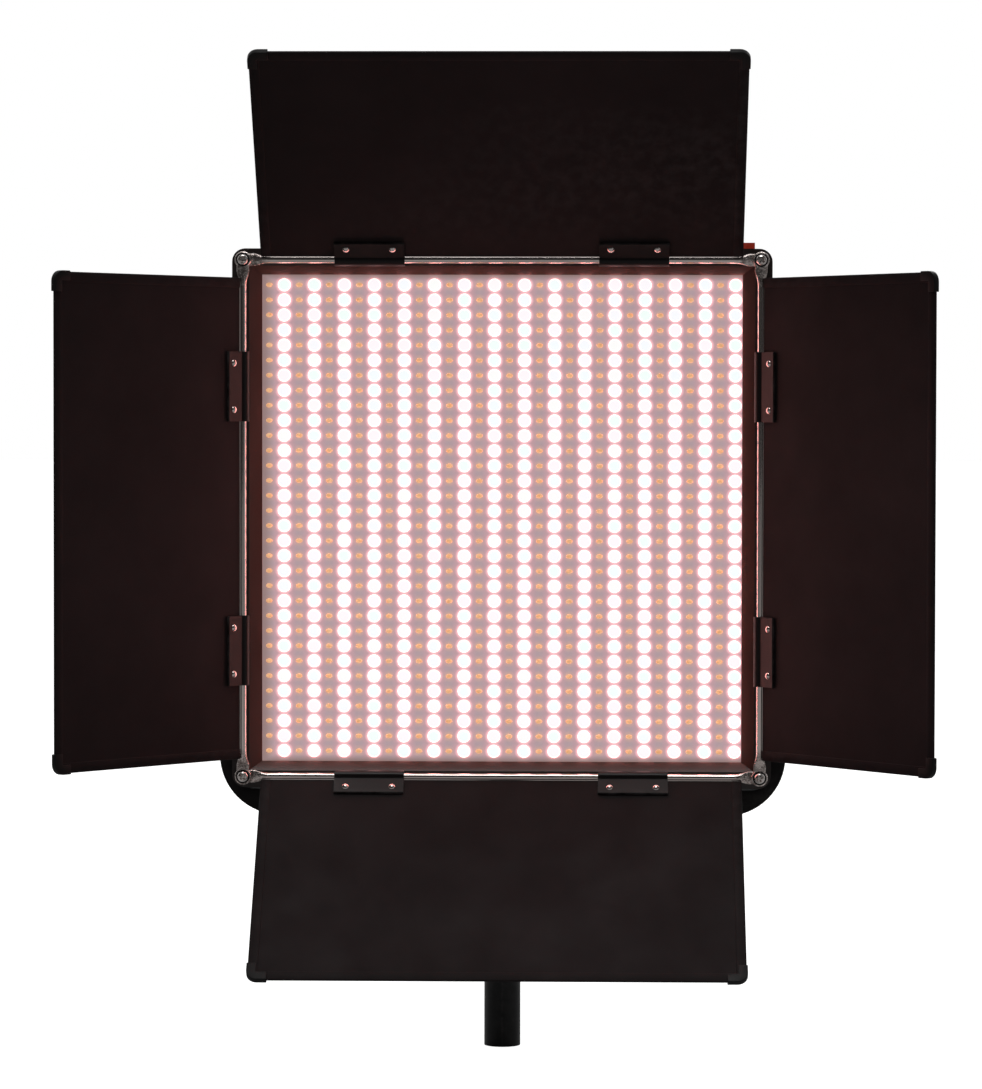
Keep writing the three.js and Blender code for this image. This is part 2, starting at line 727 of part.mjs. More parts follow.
function tiltKnob() {
  const start = YOKE_HALF_WIDTH + GAP;
  const steps = KNOB_LOBES * 4;
  const points = [];
  for (let i = 0; i < steps; i++) {
    const angle = 2 * Math.PI * i / steps;
    const radius = KNOB_RADIUS + KNOB_LOBE * Math.cos(KNOB_LOBES * angle);
    points.push(new THREE.Vector2(radius * Math.cos(angle), radius * Math.sin(angle)));
  }
  const bevel = KNOB_BEVEL;
  const grip = new THREE.ExtrudeGeometry(new THREE.Shape(points), {
    depth: KNOB_HEIGHT - KNOB_NECK - 2 * bevel,
    bevelThickness: bevel,
    bevelSize: bevel,
    bevelOffset: -bevel,
    bevelSegments: 1,
  }).rotateY(QUARTER).translate(start + KNOB_NECK + bevel, 0, 0);
  return cut(
    join(grip, roundX(KNOB_NECK_RADIUS, start, start + KNOB_NECK + OVERRUN)),
    roundX(STUD_RADIUS + GAP, start - OVERRUN, YOKE_HALF_WIDTH + KNOB_HEIGHT - KNOB_ROOF + GAP),
  );
}

// stand receiver, about the Z axis

function receiverTube() {
  return cut(
    latheZ([
      [TUBE_BORE_RADIUS, TUBE_TOP],
      [TUBE_BORE_RADIUS, 0],
      [TUBE_RADIUS, 0],
      [TUBE_RADIUS, TUBE_TOP],
      [TUBE_BORE_RADIUS, TUBE_TOP],
    ], 24),
    roundY(TSCREW_RADIUS + GAP, 0, COLLAR_RADIUS, 0, TSCREW_Z, SMALL_ROUND),
  );
}

function receiverCollar() {
  const shoulder = TUBE_TOP + GAP;
  const body = latheZ([
    [PIVOT_HOLE_RADIUS, COLLAR_TOP],
    [PIVOT_HOLE_RADIUS, shoulder],
    [COLLAR_BORE_RADIUS, shoulder],
    [COLLAR_BORE_RADIUS, COLLAR_BOTTOM],
    [COLLAR_RADIUS - 1, COLLAR_BOTTOM],
    [COLLAR_RADIUS, COLLAR_BOTTOM + 1],
    [COLLAR_RADIUS, COLLAR_TOP - 1],
    [COLLAR_RADIUS - 1, COLLAR_TOP],
    [PIVOT_HOLE_RADIUS, COLLAR_TOP],
  ], 24);
  return cut(
    join(body, roundY(TSCREW_BOSS_RADIUS, COLLAR_RADIUS - 3, TSCREW_BOSS_END, 0, TSCREW_Z)),
    roundY(TSCREW_RADIUS + GAP, 0, TSCREW_BOSS_END + OVERRUN, 0, TSCREW_Z, SMALL_ROUND),
  );
}

function yokeWasher() {
  const top = PIVOT_Z + YOKE_BOTTOM - GAP;
  return cut(
    roundZ(COLLAR_RADIUS - 3, COLLAR_TOP + GAP, top),
    roundZ(PIVOT_HOLE_RADIUS, COLLAR_TOP - OVERRUN, top + OVERRUN),
  );
}

function yokeBolt() {
  const seat = PIVOT_Z + YOKE_BOTTOM + YOKE_BAR - COUNTERBORE_DEPTH + GAP;
  return latheZ([
    [0, TUBE_TOP + 3],
    [STUD_RADIUS, TUBE_TOP + 3],
    [STUD_RADIUS, seat],
    [BOLT_HEAD_RADIUS, seat],
    [BOLT_HEAD_RADIUS, seat + BOLT_HEAD - 0.9],
    [BOLT_HEAD_RADIUS - 1, seat + BOLT_HEAD],
    [0, seat + BOLT_HEAD],
  ]);
}

// a threaded shaft along +Y with a cross bar for a handle
function tScrew() {
  const half = TSCREW_BAR_LENGTH / 2;
  const bar = latheY([
    [0, -half],
    [TSCREW_BAR_RADIUS * 0.7, -half + 0.6],
    [TSCREW_BAR_RADIUS, -half + 2.4],
    [TSCREW_BAR_RADIUS, half - 2.4],
    [TSCREW_BAR_RADIUS * 0.7, half - 0.6],
    [0, half],
  ], SMALL_ROUND).rotateZ(QUARTER).translate(0, TSCREW_BAR_Y, 0);
  return join(
    roundY(TSCREW_RADIUS, TSCREW_START, TSCREW_BAR_Y, 0, 0, SMALL_ROUND),
    roundY(TSCREW_COLLAR_RADIUS, TSCREW_BOSS_END + GAP, TSCREW_BAR_Y - 2, 0, 0, SMALL_ROUND),
    bar,
  );
}

// materials

const COLOURS = {
  bezel: [0x17100f, 0.55, 0.1],
  shell: [0x151414, 0.6, 0],
  board: [0xd8ccd2, 0.5, 0],
  sink: [0xb9bcc0, 0.35, 0.9],
  driver: [0x1f4a2c, 0.6, 0],
  steel: [0xd9d5d3, 0.18, 1],
  leaf: [0x221616, 0.62, 0.2],
  clip: [0x1a1112, 0.5, 0.3],
  cap: [0x111011, 0.6, 0],
  yoke: [0x121112, 0.5, 0.3],
  grip: [0x101010, 0.7, 0],
  nylon: [0x8b8a86, 0.6, 0],
  receiver: [0x0d0d0e, 0.45, 0.4],
  rocker: [0xd8322e, 0.35, 0],
  glass: [0x10161c, 0.12, 0],
};

function mesh(name, geometry, colour) {
  const [color, roughness, metalness] = COLOURS[colour];
  const made = new THREE.Mesh(geometry, new THREE.MeshStandardMaterial({ color, roughness, metalness }));
  made.name = name;
  return made;
}

// assembly

function leafAssembly({ side, rest, turn }) {
  const across = turn % 180 === 0;
  const angle = THREE.MathUtils.degToRad(rest);
  const hinge = new THREE.Group();
  if (across) {
    const up = turn === 0 ? 1 : -1;
    hinge.position.set(0, ROD_ACROSS_Y, up * ROD_HALF_SPAN);
    hinge.rotation.x = up * angle;
  } else {
    const right = turn > 0 ? 1 : -1;
    hinge.position.set(right * ROD_HALF_SPAN, ROD_UPRIGHT_Y, 0);
    hinge.rotation.z = -right * angle;
  }
  const leaf = new THREE.Group();
  leaf.rotation.y = THREE.MathUtils.degToRad(turn);
  leaf.add(mesh(`leaf_${side}`, leafSheet(), 'leaf'));
  for (const [index, end] of [-1, 1].entries()) {
    const clip = mesh(`clip_${side}_${index + 1}`, hingeClip(), 'clip');
    clip.position.x = end * CLIP_CENTRE;
    leaf.add(clip, mesh(`cap_${side}_${index + 1}`, cornerCap(end), 'cap'));
  }
  hinge.add(leaf);
  return hinge;
}

function rodAssembly() {
  const rods = new THREE.Group();
  const frames = [
    ['rod_top', 0, ROD_ACROSS_Y, ROD_HALF_SPAN, 0],
    ['rod_bottom', 0, ROD_ACROSS_Y, -ROD_HALF_SPAN, 0],
    ['rod_left', -ROD_HALF_SPAN, ROD_UPRIGHT_Y, 0, QUARTER],
    ['rod_right', ROD_HALF_SPAN, ROD_UPRIGHT_Y, 0, QUARTER],
  ];
  for (const [name, x, y, z, turn] of frames) {
    const rod = mesh(name, hingeRod(), 'steel');
    rod.position.set(x, y, z);
    rod.rotation.y = turn;
    rods.add(rod);
  }
  for (const [index, [x, z]] of cornerPoints().entries()) {
    const screw = mesh(`corner_screw_${index + 1}`, cornerScrew(), 'steel');
    screw.position.set(x, 0, z);
    rods.add(screw);
  }
  return rods;
}

function panelAssembly() {
  const panel = new THREE.Group();
  panel.add(
    mesh('front_bezel', frontBezel(), 'bezel'),
    mesh('led_board', ledBoard(), 'board'),
    mesh('heat_sink', heatSink(), 'sink'),
    mesh('rear_shell', rearShell(), 'shell'),
    mesh('rear_cover', rearCover(), 'shell'),
    mesh('driver_board', driverBoard(), 'driver'),
    mesh('display_window', displayWindow(), 'glass'),
    mesh('power_inlet', powerInlet(), 'grip'),
    mesh('switch_frame', switchFrame(), 'grip'),
    rodAssembly(),
    ...LEAVES.map(leafAssembly),
  );
  const tipped = mesh('power_rocker', rocker(), 'rocker');
  tipped.position.set(ROCKER_X, ROCKER_Y, ROCKER_Z);
  tipped.rotation.x = -THREE.MathUtils.degToRad(ROCKER_REST);
  panel.add(tipped);
  for (const [name, side] of [['dial_1', -1], ['dial_2', 1]]) {
    const turned = mesh(name, dial(), 'grip');
    turned.position.set(side * DIAL_X, 0, DIAL_Z);
    panel.add(turned);
  }
  for (const [name, side] of [['button_1', -1], ['button_2', 1]]) {
    const pressed = mesh(name, pushButton(), 'grip');
    pressed.position.set(side * BUTTON_X, 0, BUTTON_Z);
    panel.add(pressed);
  }
  return panel;
}

function sideHardware(side, turn) {
  const set = new THREE.Group();
  set.rotation.z = turn;
  set.add(
    mesh(`pivot_bush_${side}`, pivotBush(), 'steel'),
    mesh(`pivot_washer_${side}`, pivotWasher(), 'nylon'),
    mesh(`tilt_stud_${side}`, tiltStud(), 'steel'),
    mesh(`tilt_knob_${side}`, tiltKnob(), 'grip'),
  );
  return set;
}

const head = new THREE.Group();
head.position.z = PIVOT_Z;
head.add(
  panelAssembly(),
  mesh('yoke', yoke(), 'yoke'),
  sideHardware('left', 2 * QUARTER),
  sideHardware('right', 0),
);

const handle = mesh('t_screw', tScrew(), 'steel');
handle.position.z = TSCREW_Z;

const group = new THREE.Group();
group.add(
  mesh('receiver_tube', receiverTube(), 'receiver'),
  mesh('receiver_collar', receiverCollar(), 'receiver'),
  mesh('yoke_washer', yokeWasher(), 'nylon'),
  mesh('yoke_bolt', yokeBolt(), 'steel'),
  handle,
  head,
);

export default group;
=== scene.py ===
"""LED panel light with four hinged leaves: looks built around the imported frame. Metres; local work in mm."""

import math

import bmesh
import bpy
from mathutils import Matrix, Vector


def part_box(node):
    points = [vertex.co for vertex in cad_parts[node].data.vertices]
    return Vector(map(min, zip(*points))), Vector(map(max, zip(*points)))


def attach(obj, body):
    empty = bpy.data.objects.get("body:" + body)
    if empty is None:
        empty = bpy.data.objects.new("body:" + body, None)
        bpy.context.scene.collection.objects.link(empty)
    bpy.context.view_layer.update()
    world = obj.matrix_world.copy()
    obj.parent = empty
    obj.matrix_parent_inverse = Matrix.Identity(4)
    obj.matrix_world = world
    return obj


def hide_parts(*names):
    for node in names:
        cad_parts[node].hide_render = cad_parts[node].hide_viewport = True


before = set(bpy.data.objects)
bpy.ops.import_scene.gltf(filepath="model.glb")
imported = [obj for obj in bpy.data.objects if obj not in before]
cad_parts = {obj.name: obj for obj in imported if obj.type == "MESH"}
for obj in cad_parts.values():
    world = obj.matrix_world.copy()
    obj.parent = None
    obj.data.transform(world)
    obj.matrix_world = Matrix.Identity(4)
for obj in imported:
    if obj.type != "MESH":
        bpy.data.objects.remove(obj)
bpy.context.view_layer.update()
MM = 0.001
SIDES = ("top", "bottom", "left", "right")
# the tilt pivot's height in millimetres
PIVOT_Z = 310.0
# the angle in degrees above which an edge is sharp
CREASE = 32
# vertices of a CAD node closer than this, in metres, become one
WELD = 0.000004
scene = bpy.context.scene

# ---------------------------------------------------------------- camera and light

CAMERA_PLACE = (0.0520, -2.5216, 0.3713)
CAMERA_AIM = (-0.0059, -0.052, 0.2954)
CAMERA_LENS = 142.5
CAMERA_ROLL = 0.1
CAMERA_REACH = 50.0
LIGHT_AIM = (0, 0, 0.3)
RANGE_SOCKETS = ("From Min", "From Max", "To Min", "To Max")
# name, place, size in metres, watts
LIGHTS = (
    ("key", (-0.1, -0.9, 3.0), (1.4, 1.4), 29),
    ("fill", (1.8, -1.4, 0.9), (1.2, 1.8), 1.6),
    ("rear", (0.3, 2.0, 1.6), (1.6, 1.0), 16),
)
# the world's strength in front of the object and behind it, and the directions between which it changes
WORLD_FRONT, WORLD_BEHIND = 0.036, 0.8
WORLD_TURN = (0.05, 0.6)


def make_camera():
    data = bpy.data.cameras.new("camera")
    data.lens = CAMERA_LENS
    data.sensor_width = 36.0
    data.clip_end = CAMERA_REACH
    camera = bpy.data.objects.new("camera", data)
    scene.collection.objects.link(camera)
    camera.location = CAMERA_PLACE
    look = (Vector(CAMERA_AIM) - camera.location).to_track_quat("-Z", "Y").to_matrix()
    roll = Matrix.Rotation(math.radians(CAMERA_ROLL), 3, "Z")
    camera.rotation_euler = (look @ roll).to_euler()
    scene.camera = camera


def area_light(name, place, size, power):
    data = bpy.data.lights.new(name, "AREA")
    data.shape = "RECTANGLE"
    data.size, data.size_y = size
    data.energy = power
    lamp = bpy.data.objects.new(name, data)
    scene.collection.objects.link(lamp)
    lamp.location = place
    lamp.rotation_euler = (Vector(LIGHT_AIM) - lamp.location).to_track_quat("-Z", "Y").to_euler()


def node_tree(owner):
    owner.use_nodes = True
    tree = owner.node_tree
    tree.nodes.clear()
    return tree


def make_studio():
    """A white world for the camera; for other rays it is dim in front of the object and bright behind it."""
    world = bpy.data.worlds.new("studio")
    scene.world = world
    tree = node_tree(world)
    white = tree.nodes.new("ShaderNodeBackground")
    white.inputs["Color"].default_value = (1, 1, 1, 1)
    white.inputs["Strength"].default_value = 1.0
    dim = tree.nodes.new("ShaderNodeBackground")
    dim.inputs["Color"].default_value = (1, 1, 1, 1)
    toward = tree.nodes.new("ShaderNodeSeparateXYZ")
    tree.links.new(tree.nodes.new("ShaderNodeTexCoord").outputs["Generated"], toward.inputs[0])
    behind = tree.nodes.new("ShaderNodeMapRange")
    for key, value in zip(RANGE_SOCKETS, (*WORLD_TURN, WORLD_FRONT, WORLD_BEHIND)):
        behind.inputs[key].default_value = value
    tree.links.new(toward.outputs["Y"], behind.inputs["Value"])
    tree.links.new(behind.outputs[0], dim.inputs["Strength"])
    path = tree.nodes.new("ShaderNodeLightPath")
    blend = tree.nodes.new("ShaderNodeMixShader")
    tree.links.new(path.outputs["Is Camera Ray"], blend.inputs[0])
    tree.links.new(dim.outputs[0], blend.inputs[1])
    tree.links.new(white.outputs[0], blend.inputs[2])
    out = tree.nodes.new("ShaderNodeOutputWorld")
    tree.links.new(blend.outputs[0], out.inputs["Surface"])
    for name, place, size, power in LIGHTS:
        area_light(name, place, size, power)
    scene.view_settings.view_transform = "Standard"
    scene.view_settings.look = "None"


# ---------------------------------------------------------------- materials


class Nodes:
    """A small builder for a material's node tree."""

    def __init__(self, name):
        self.material = bpy.data.materials.new(name)
        self.tree = node_tree(self.material)
        self.shader = self.add("ShaderNodeBsdfPrincipled")
        out = self.add("ShaderNodeOutputMaterial")
        self.link(self.shader.outputs[0], out.inputs["Surface"])
        self.coord = self.add("ShaderNodeTexCoord").outputs["Object"]

    def add(self, kind, **settings):
        node = self.tree.nodes.new(kind)
        for key, value in settings.items():
            setattr(node, key, value)
        return node

    def link(self, a, b):
        self.tree.links.new(a, b)

    def set(self, **values):
        for key, value in values.items():
            self.shader.inputs[key.replace("_", " ")].default_value = value

    def noise(self, scale, detail=4.0, stretch=None, rough=0.55):
        node = self.add("ShaderNodeTexNoise")
        node.inputs["Scale"].default_value = scale
        node.inputs["Detail"].default_value = detail
        node.inputs["Roughness"].default_value = rough
        source = self.coord
        if stretch:
            mapping = self.add("ShaderNodeMapping")
            mapping.inputs["Scale"].default_value = stretch
            self.link(source, mapping.inputs["Vector"])
            source = mapping.outputs[0]
        self.link(source, node.inputs["Vector"])
        return node.outputs["Fac"]

    def remap(self, value, low, high, to_low, to_high):
        node = self.add("ShaderNodeMapRange")
        for key, number in zip(RANGE_SOCKETS, (low, high, to_low, to_high)):
            node.inputs[key].default_value = number
        self.link(value, node.inputs["Value"])
        return node.outputs[0]

    def math(self, kind, a, b=None):
        node = self.add("ShaderNodeMath", operation=kind)
        for socket, value in zip(node.inputs, (a, b)):
            if value is None:
                continue
            if isinstance(value, (int, float)):
                socket.default_value = value
            else:
                self.link(value, socket)
        return node.outputs[0]

    def mix(self, factor, a, b):
        node = self.add("ShaderNodeMix", data_type="RGBA")
        sockets = {s.identifier: s for s in node.inputs}
        for socket, value in (
            (sockets["Factor_Float"], factor),
            (sockets["A_Color"], a),
            (sockets["B_Color"], b),
        ):
            if isinstance(value, tuple):
                socket.default_value = (*value, 1)
            elif isinstance(value, (int, float)):
                socket.default_value = value
            else:
                self.link(value, socket)
        return {s.identifier: s for s in node.outputs}["Result_Color"]

    def ramp(self, value, stops):
        node = self.add("ShaderNodeValToRGB")
        elements = node.color_ramp.elements
        while len(elements) < len(stops):
            elements.new(0.5)
        for element, (place, colour) in zip(elements, stops):
            element.position = place
            element.color = (*colour, 1)
        self.link(value, node.inputs["Fac"])
        return node.outputs["Color"]

    def bump(self, height, strength, distance, before=None):
        node = self.add("ShaderNodeBump")
        node.inputs["Strength"].default_value = strength
        node.inputs["Distance"].default_value = distance
        self.link(height, node.inputs["Height"])
        if before:
            self.link(before, node.inputs["Normal"])
        return node.outputs[0]

    def inside_window(self):
        """1 on the slopes inside the bezel's front edge, where LED light is painted, 0 outside."""
        split = self.add("ShaderNodeSeparateXYZ")
        self.link(self.coord, split.inputs[0])
        side = self.math("ABSOLUTE", split.outputs["X"])
        rise = self.math("ABSOLUTE", self.math("SUBTRACT", split.outputs["Z"], PIVOT_Z * MM))
        return self.remap(self.math("MAXIMUM", side, rise), *WINDOW_EDGE, 1.0, 0.0)

    def wear(self):
        """Where the surface turns outwards sharply, from 0 to 1."""
        point = self.add("ShaderNodeNewGeometry").outputs["Pointiness"]
        return self.remap(point, 0.53, 0.62, 0.0, 1.0)


WORN_AMOUNT = 0.35
# metres from the panel's middle: the bezel's inner front edge, and where the rods' ends turn flat
WINDOW_EDGE = (0.1448, 0.1454)
EYE_PRESSED = (0.1325, 0.1385)


def painted(name, colour, light, rough, grain, grain_depth, specular, worn=None, window=None):
    """Paint or moulded plastic: cloudy colour, fine grain in the bump, uneven gloss, paler edges.

    window gives the two reddish tones of painted LED light on the slopes inside the bezel's front edge.
    """
    m = Nodes(name)
    cloud = m.noise(9.0, 5.0)
    speck = m.noise(grain, 2.0)
    tone = m.mix(m.remap(cloud, 0.3, 0.7, 0.0, 1.0), colour, light)
    tone = m.mix(m.remap(speck, 0.45, 0.75, 0.0, 0.35), tone, light)
    if worn:
        edge = m.math("MULTIPLY", m.wear(), m.remap(m.noise(140.0, 4.0), 0.4, 0.65, 0.0, WORN_AMOUNT))
        tone = m.mix(edge, tone, worn)
    # painted LED light: reddish tones on the bezel's slopes
    if window:
        tone = m.mix(m.inside_window(), tone, m.mix(m.remap(cloud, 0.3, 0.7, 0.0, 1.0), *window))
    m.link(tone, m.shader.inputs["Base Color"])
    smear = m.noise(30.0, 6.0, rough=0.65)
    m.link(m.remap(smear, 0.3, 0.75, rough - 0.07, rough + 0.09), m.shader.inputs["Roughness"])
    first = m.bump(speck, 0.35, grain_depth)
    m.link(m.bump(m.noise(grain * 0.32, 3.0), 0.25, grain_depth * 2.0, first), m.shader.inputs["Normal"])
    m.set(Specular_IOR_Level=specular)
    return m.material


def rod_chrome(name, along):
    """Polished rod: hairlines that run with it, and ends left rough where they were pressed flat, with a
    painted dark reflection on them.
    """
    m = Nodes(name)
    split = m.add("ShaderNodeSeparateXYZ")
    m.link(m.coord, split.inputs[0])
    side = m.math("ABSOLUTE", split.outputs["X"])
    rise = m.math("ABSOLUTE", m.math("SUBTRACT", split.outputs["Z"], PIVOT_Z * MM))
    pressed = m.remap(m.math("MINIMUM", side, rise), *EYE_PRESSED, 0.0, 1.0)
    hair = m.noise(1400.0, 3.0, stretch=along)
    dents = m.noise(620.0, 5.0, rough=0.7)
    # painted dark reflection: a mottled dark tone on the flat-pressed ends, whose mask also raises their
    # roughness
    dark_reflection = m.math("MULTIPLY", pressed, m.remap(m.noise(380.0, 5.0, rough=0.7), 0.42, 0.62, 0.0, 0.85))
    tone = m.mix(m.remap(hair, 0.42, 0.75, 0.0, 0.45), (0.86, 0.77, 0.73), (0.50, 0.40, 0.37))
    m.link(m.mix(dark_reflection, tone, (0.10, 0.065, 0.055)), m.shader.inputs["Base Color"])
    gloss = m.remap(hair, 0.3, 0.8, 0.05, 0.16)
    m.link(m.math("ADD", gloss, m.math("MULTIPLY", dark_reflection, 0.25)), m.shader.inputs["Roughness"])
    first = m.bump(hair, 0.12, 0.00001)
    m.link(m.bump(m.math("MULTIPLY", dents, pressed), 0.8, 0.0005, first), m.shader.inputs["Normal"])
    m.set(Metallic=1.0)
    return m.material


def plated(name, colour, dark, rough, scratch=(1.0, 1.0, 1.0), depth=0.00002):
    """Polished or plated metal: faint tarnish, hairline scratches, uneven gloss."""
    m = Nodes(name)
    stain = m.noise(60.0, 6.0, rough=0.6)
    tone = m.mix(m.remap(stain, 0.42, 0.78, 0.0, 0.55), colour, dark)
    m.link(tone, m.shader.inputs["Base Color"])
    hair = m.noise(900.0, 3.0, stretch=scratch)
    m.link(m.remap(hair, 0.3, 0.8, rough * 0.6, rough * 1.8), m.shader.inputs["Roughness"])
    m.link(m.bump(hair, 0.25, depth), m.shader.inputs["Normal"])
    m.set(Metallic=1.0)
    return m.material


# ---------------------------------------------------------------- the LED grid

COLUMN_PITCH = 8.654
ROW_PITCH = 8.665
GRID = 32
LENS_RADIUS = 3.6
LENS_HEIGHT = 1.5
BOARD_FRONT = -40.0
# whole pitches added before the fold, so that it starts well outside the board
GRID_SHIFT = 64


def column_x(k):
    return (k - (GRID - 1) / 2) * COLUMN_PITCH


def row_z(j):
    return PIVOT_Z + (j - (GRID - 1) / 2) * ROW_PITCH


def cell_distance(m, step_x, phase_x):
    """Distance in metres from the nearest lens centre, with columns step_x apart."""
    split = m.add("ShaderNodeSeparateXYZ")
    m.link(m.coord, split.inputs[0])
    across = m.math("SUBTRACT", split.outputs["X"], phase_x * MM)
    across = m.math("PINGPONG", m.math("ADD", across, GRID_SHIFT * step_x * MM), step_x / 2 * MM)
    up = m.math("SUBTRACT", split.outputs["Z"], (row_z(0) - GRID_SHIFT * ROW_PITCH) * MM)
    up = m.math("PINGPONG", up, ROW_PITCH / 2 * MM)
    squares = m.math("ADD", m.math("MULTIPLY", across, across), m.math("MULTIPLY", up, up))
    return m.math("SQRT", squares)


def board_material():
    """White board seen past the glare, all of it painted glow: mauve grey, pink round each lit lens, warm
    round each amber chip, with painted shade along its left and top margins.
    """
    m = Nodes("board_glow")
    # painted glow of the LED light on the board, given as its emission
    lit = cell_distance(m, 2 * COLUMN_PITCH, column_x(1))
    warm = cell_distance(m, 2 * COLUMN_PITCH, column_x(0))
    halo = m.ramp(m.remap(lit, 0.0034, 0.0082, 0.0, 1.0), [
        (0.0, (0.98, 0.68, 0.72)),
        (0.16, (0.86, 0.50, 0.54)),
        (0.42, (0.52, 0.315, 0.345)),
        (1.0, (0.42, 0.31, 0.335)),
    ])
    glow = m.mix(m.remap(warm, 0.0010, 0.0036, 0.6, 0.0), halo, (0.72, 0.42, 0.27))
    split = m.add("ShaderNodeSeparateXYZ")
    m.link(m.coord, split.inputs[0])
    side = m.math("MULTIPLY", split.outputs["X"], -1.0)
    rise = m.math("ABSOLUTE", m.math("SUBTRACT", split.outputs["Z"], PIVOT_Z * MM))
    # painted shade of the bezel over the board's left and top margins
    left_shade = m.remap(side, 0.1310, 0.1365, 0.0, 0.85)
    shaded_margin = m.math("MAXIMUM", left_shade, m.remap(rise, 0.1365, 0.1400, 0.0, 1.0))
    glow = m.mix(shaded_margin, glow, (0.25, 0.165, 0.15))
    mottle = m.mix(m.remap(m.noise(420.0, 3.0), 0.3, 0.7, 0.0, 0.16), glow, (0.30, 0.22, 0.24))
    m.link(mottle, m.shader.inputs["Emission Color"])
    m.link(m.mix(m.noise(300.0), (0.10, 0.085, 0.09), (0.15, 0.12, 0.13)), m.shader.inputs["Base Color"])
    m.link(m.bump(m.noise(1500.0, 2.0), 0.2, 0.00004), m.shader.inputs["Normal"])
    m.set(Emission_Strength=1.0, Roughness=0.45)
    return m.material


def lens_material():
    """The lit lens: its rim throws warm light, its middle is cooler and differs from one LED to the next."""
    m = Nodes("lens_lit")
    far = cell_distance(m, 2 * COLUMN_PITCH, column_x(1))
    snap = m.add("ShaderNodeVectorMath", operation="SNAP")
    shift = m.add("ShaderNodeVectorMath", operation="ADD")
    shift.inputs[1].default_value = (
        (COLUMN_PITCH - column_x(1)) * MM, 0.0, (ROW_PITCH / 2 - row_z(0)) * MM,
    )
    m.link(m.coord, shift.inputs[0])
    m.link(shift.outputs[0], snap.inputs[0])
    snap.inputs[1].default_value = (2 * COLUMN_PITCH * MM, 1.0, ROW_PITCH * MM)
    random = m.add("ShaderNodeTexWhiteNoise", noise_dimensions="3D")
    m.link(snap.outputs[0], random.inputs["Vector"])
    tint = m.ramp(random.outputs["Value"], [
        (0.0, (0.86, 0.97, 0.93)),
        (0.35, (0.90, 0.94, 0.98)),
        (0.7, (0.98, 0.90, 0.93)),
        (1.0, (0.94, 0.96, 0.94)),
    ])
    warm = (10.0, 2.7, 2.3)
    m.link(m.mix(m.remap(far, 0.0032, 0.00355, 0.0, 1.0), tint, warm), m.shader.inputs["Emission Color"])
    m.link(m.remap(m.noise(800.0), 0.3, 0.7, 0.25, 0.4), m.shader.inputs["Roughness"])
    m.set(Base_Color=(0.25, 0.24, 0.23, 1), Emission_Strength=1.0)
    return m.material


def amber_material():
    """The small amber chips between the lit columns, which glow with painted light."""
    m = Nodes("chip_amber")
    body = m.ramp(m.noise(700.0, 3.0), [(0.3, (0.80, 0.40, 0.18)), (0.7, (0.93, 0.55, 0.31))])
    m.link(body, m.shader.inputs["Emission Color"])
    m.link(body, m.shader.inputs["Base Color"])
    m.link(m.remap(m.noise(500.0), 0.3, 0.7, 0.3, 0.5), m.shader.inputs["Roughness"])
    # painted glow: the chips are not among the lit LEDs
    m.set(Emission_Strength=0.72)
    return m.material


# ---------------------------------------------------------------- mesh helpers


def sharpen(bm):
    """Smooth shading with hard edges where the faces turn by more than CREASE degrees."""
    limit = math.radians(CREASE)
    for face in bm.faces:
        face.smooth = True
    for edge in bm.edges:
        if len(edge.link_faces) == 2:
            edge.smooth = edge.calc_face_angle(0.0) < limit
        else:
            edge.smooth = False


def soften(bm, width, segments=2, angle=CREASE):
    """Rounds every sharp edge."""
    limit = math.radians(angle)
    edges = [e for e in bm.edges if len(e.link_faces) == 2 and e.calc_face_angle(0.0) > limit]
    bmesh.ops.bevel(
        bm, geom=edges, offset=width, offset_type="OFFSET", segments=segments,
        profile=0.5, affect="EDGES", clamp_overlap=True,
    )


def finish_mesh(name, bm, body, material, matrix=None, replaced=(), scale=MM):
    """Makes the object from a bmesh in millimetres (metres if scale is 1), puts it on its body and hides the
    CAD nodes it replaces.
    """
    bmesh.ops.recalc_face_normals(bm, faces=bm.faces)
    sharpen(bm)
    mesh = bpy.data.meshes.new(name)
    bm.to_mesh(mesh)
    bm.free()
    place = matrix or Matrix.Identity(4)
    moved = Matrix.Translation(place.to_translation() * scale)
    mesh.transform(moved @ place.to_3x3().to_4x4() @ Matrix.Scale(scale, 4))
    mesh.materials.append(material)
    piece = bpy.data.objects.new(name, mesh)
    scene.collection.objects.link(piece)
    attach(piece, body)
    if replaced:
        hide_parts(*replaced)
    return piece


def refine(node, name, body, material, width, segments=3):
    """A copy of a CAD node with rounded edges that stands for it."""
    bm = bmesh.new()
    bm.from_mesh(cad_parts[node].data)
    bmesh.ops.remove_doubles(bm, verts=bm.verts, dist=WELD)
    bmesh.ops.dissolve_limit(bm, angle_limit=math.radians(1.0), verts=bm.verts, edges=bm.edges)
    soften(bm, width * MM, segments)
    return finish_mesh(name, bm, body, material, replaced=(node,), scale=1)


def lathe(profile, facets=48, closed=False):
    """A bmesh turned about Z from (radius, height) pairs. An open profile starts and ends on the axis."""
    bm = bmesh.new()
    rings = []
    for radius, height in profile:
        if radius < 1e-6:
            rings.append([bm.verts.new((0, 0, height))])
            continue
        ring = []
        for k in range(facets):
            angle = 2 * math.pi * k / facets
            ring.append(bm.verts.new((radius * math.cos(angle), radius * math.sin(angle), height)))
        rings.append(ring)
    pairs = list(zip(rings, rings[1:]))
    if closed:
        pairs.append((rings[-1], rings[0]))
    for low, high in pairs:
        for k in range(facets):
            n = (k + 1) % facets
            corners = [low[k % len(low)], low[n % len(low)], high[n % len(high)], high[k % len(high)]]
            unique = list(dict.fromkeys(corners))
            if len(unique) > 2:
                bm.faces.new(unique)
    return bm


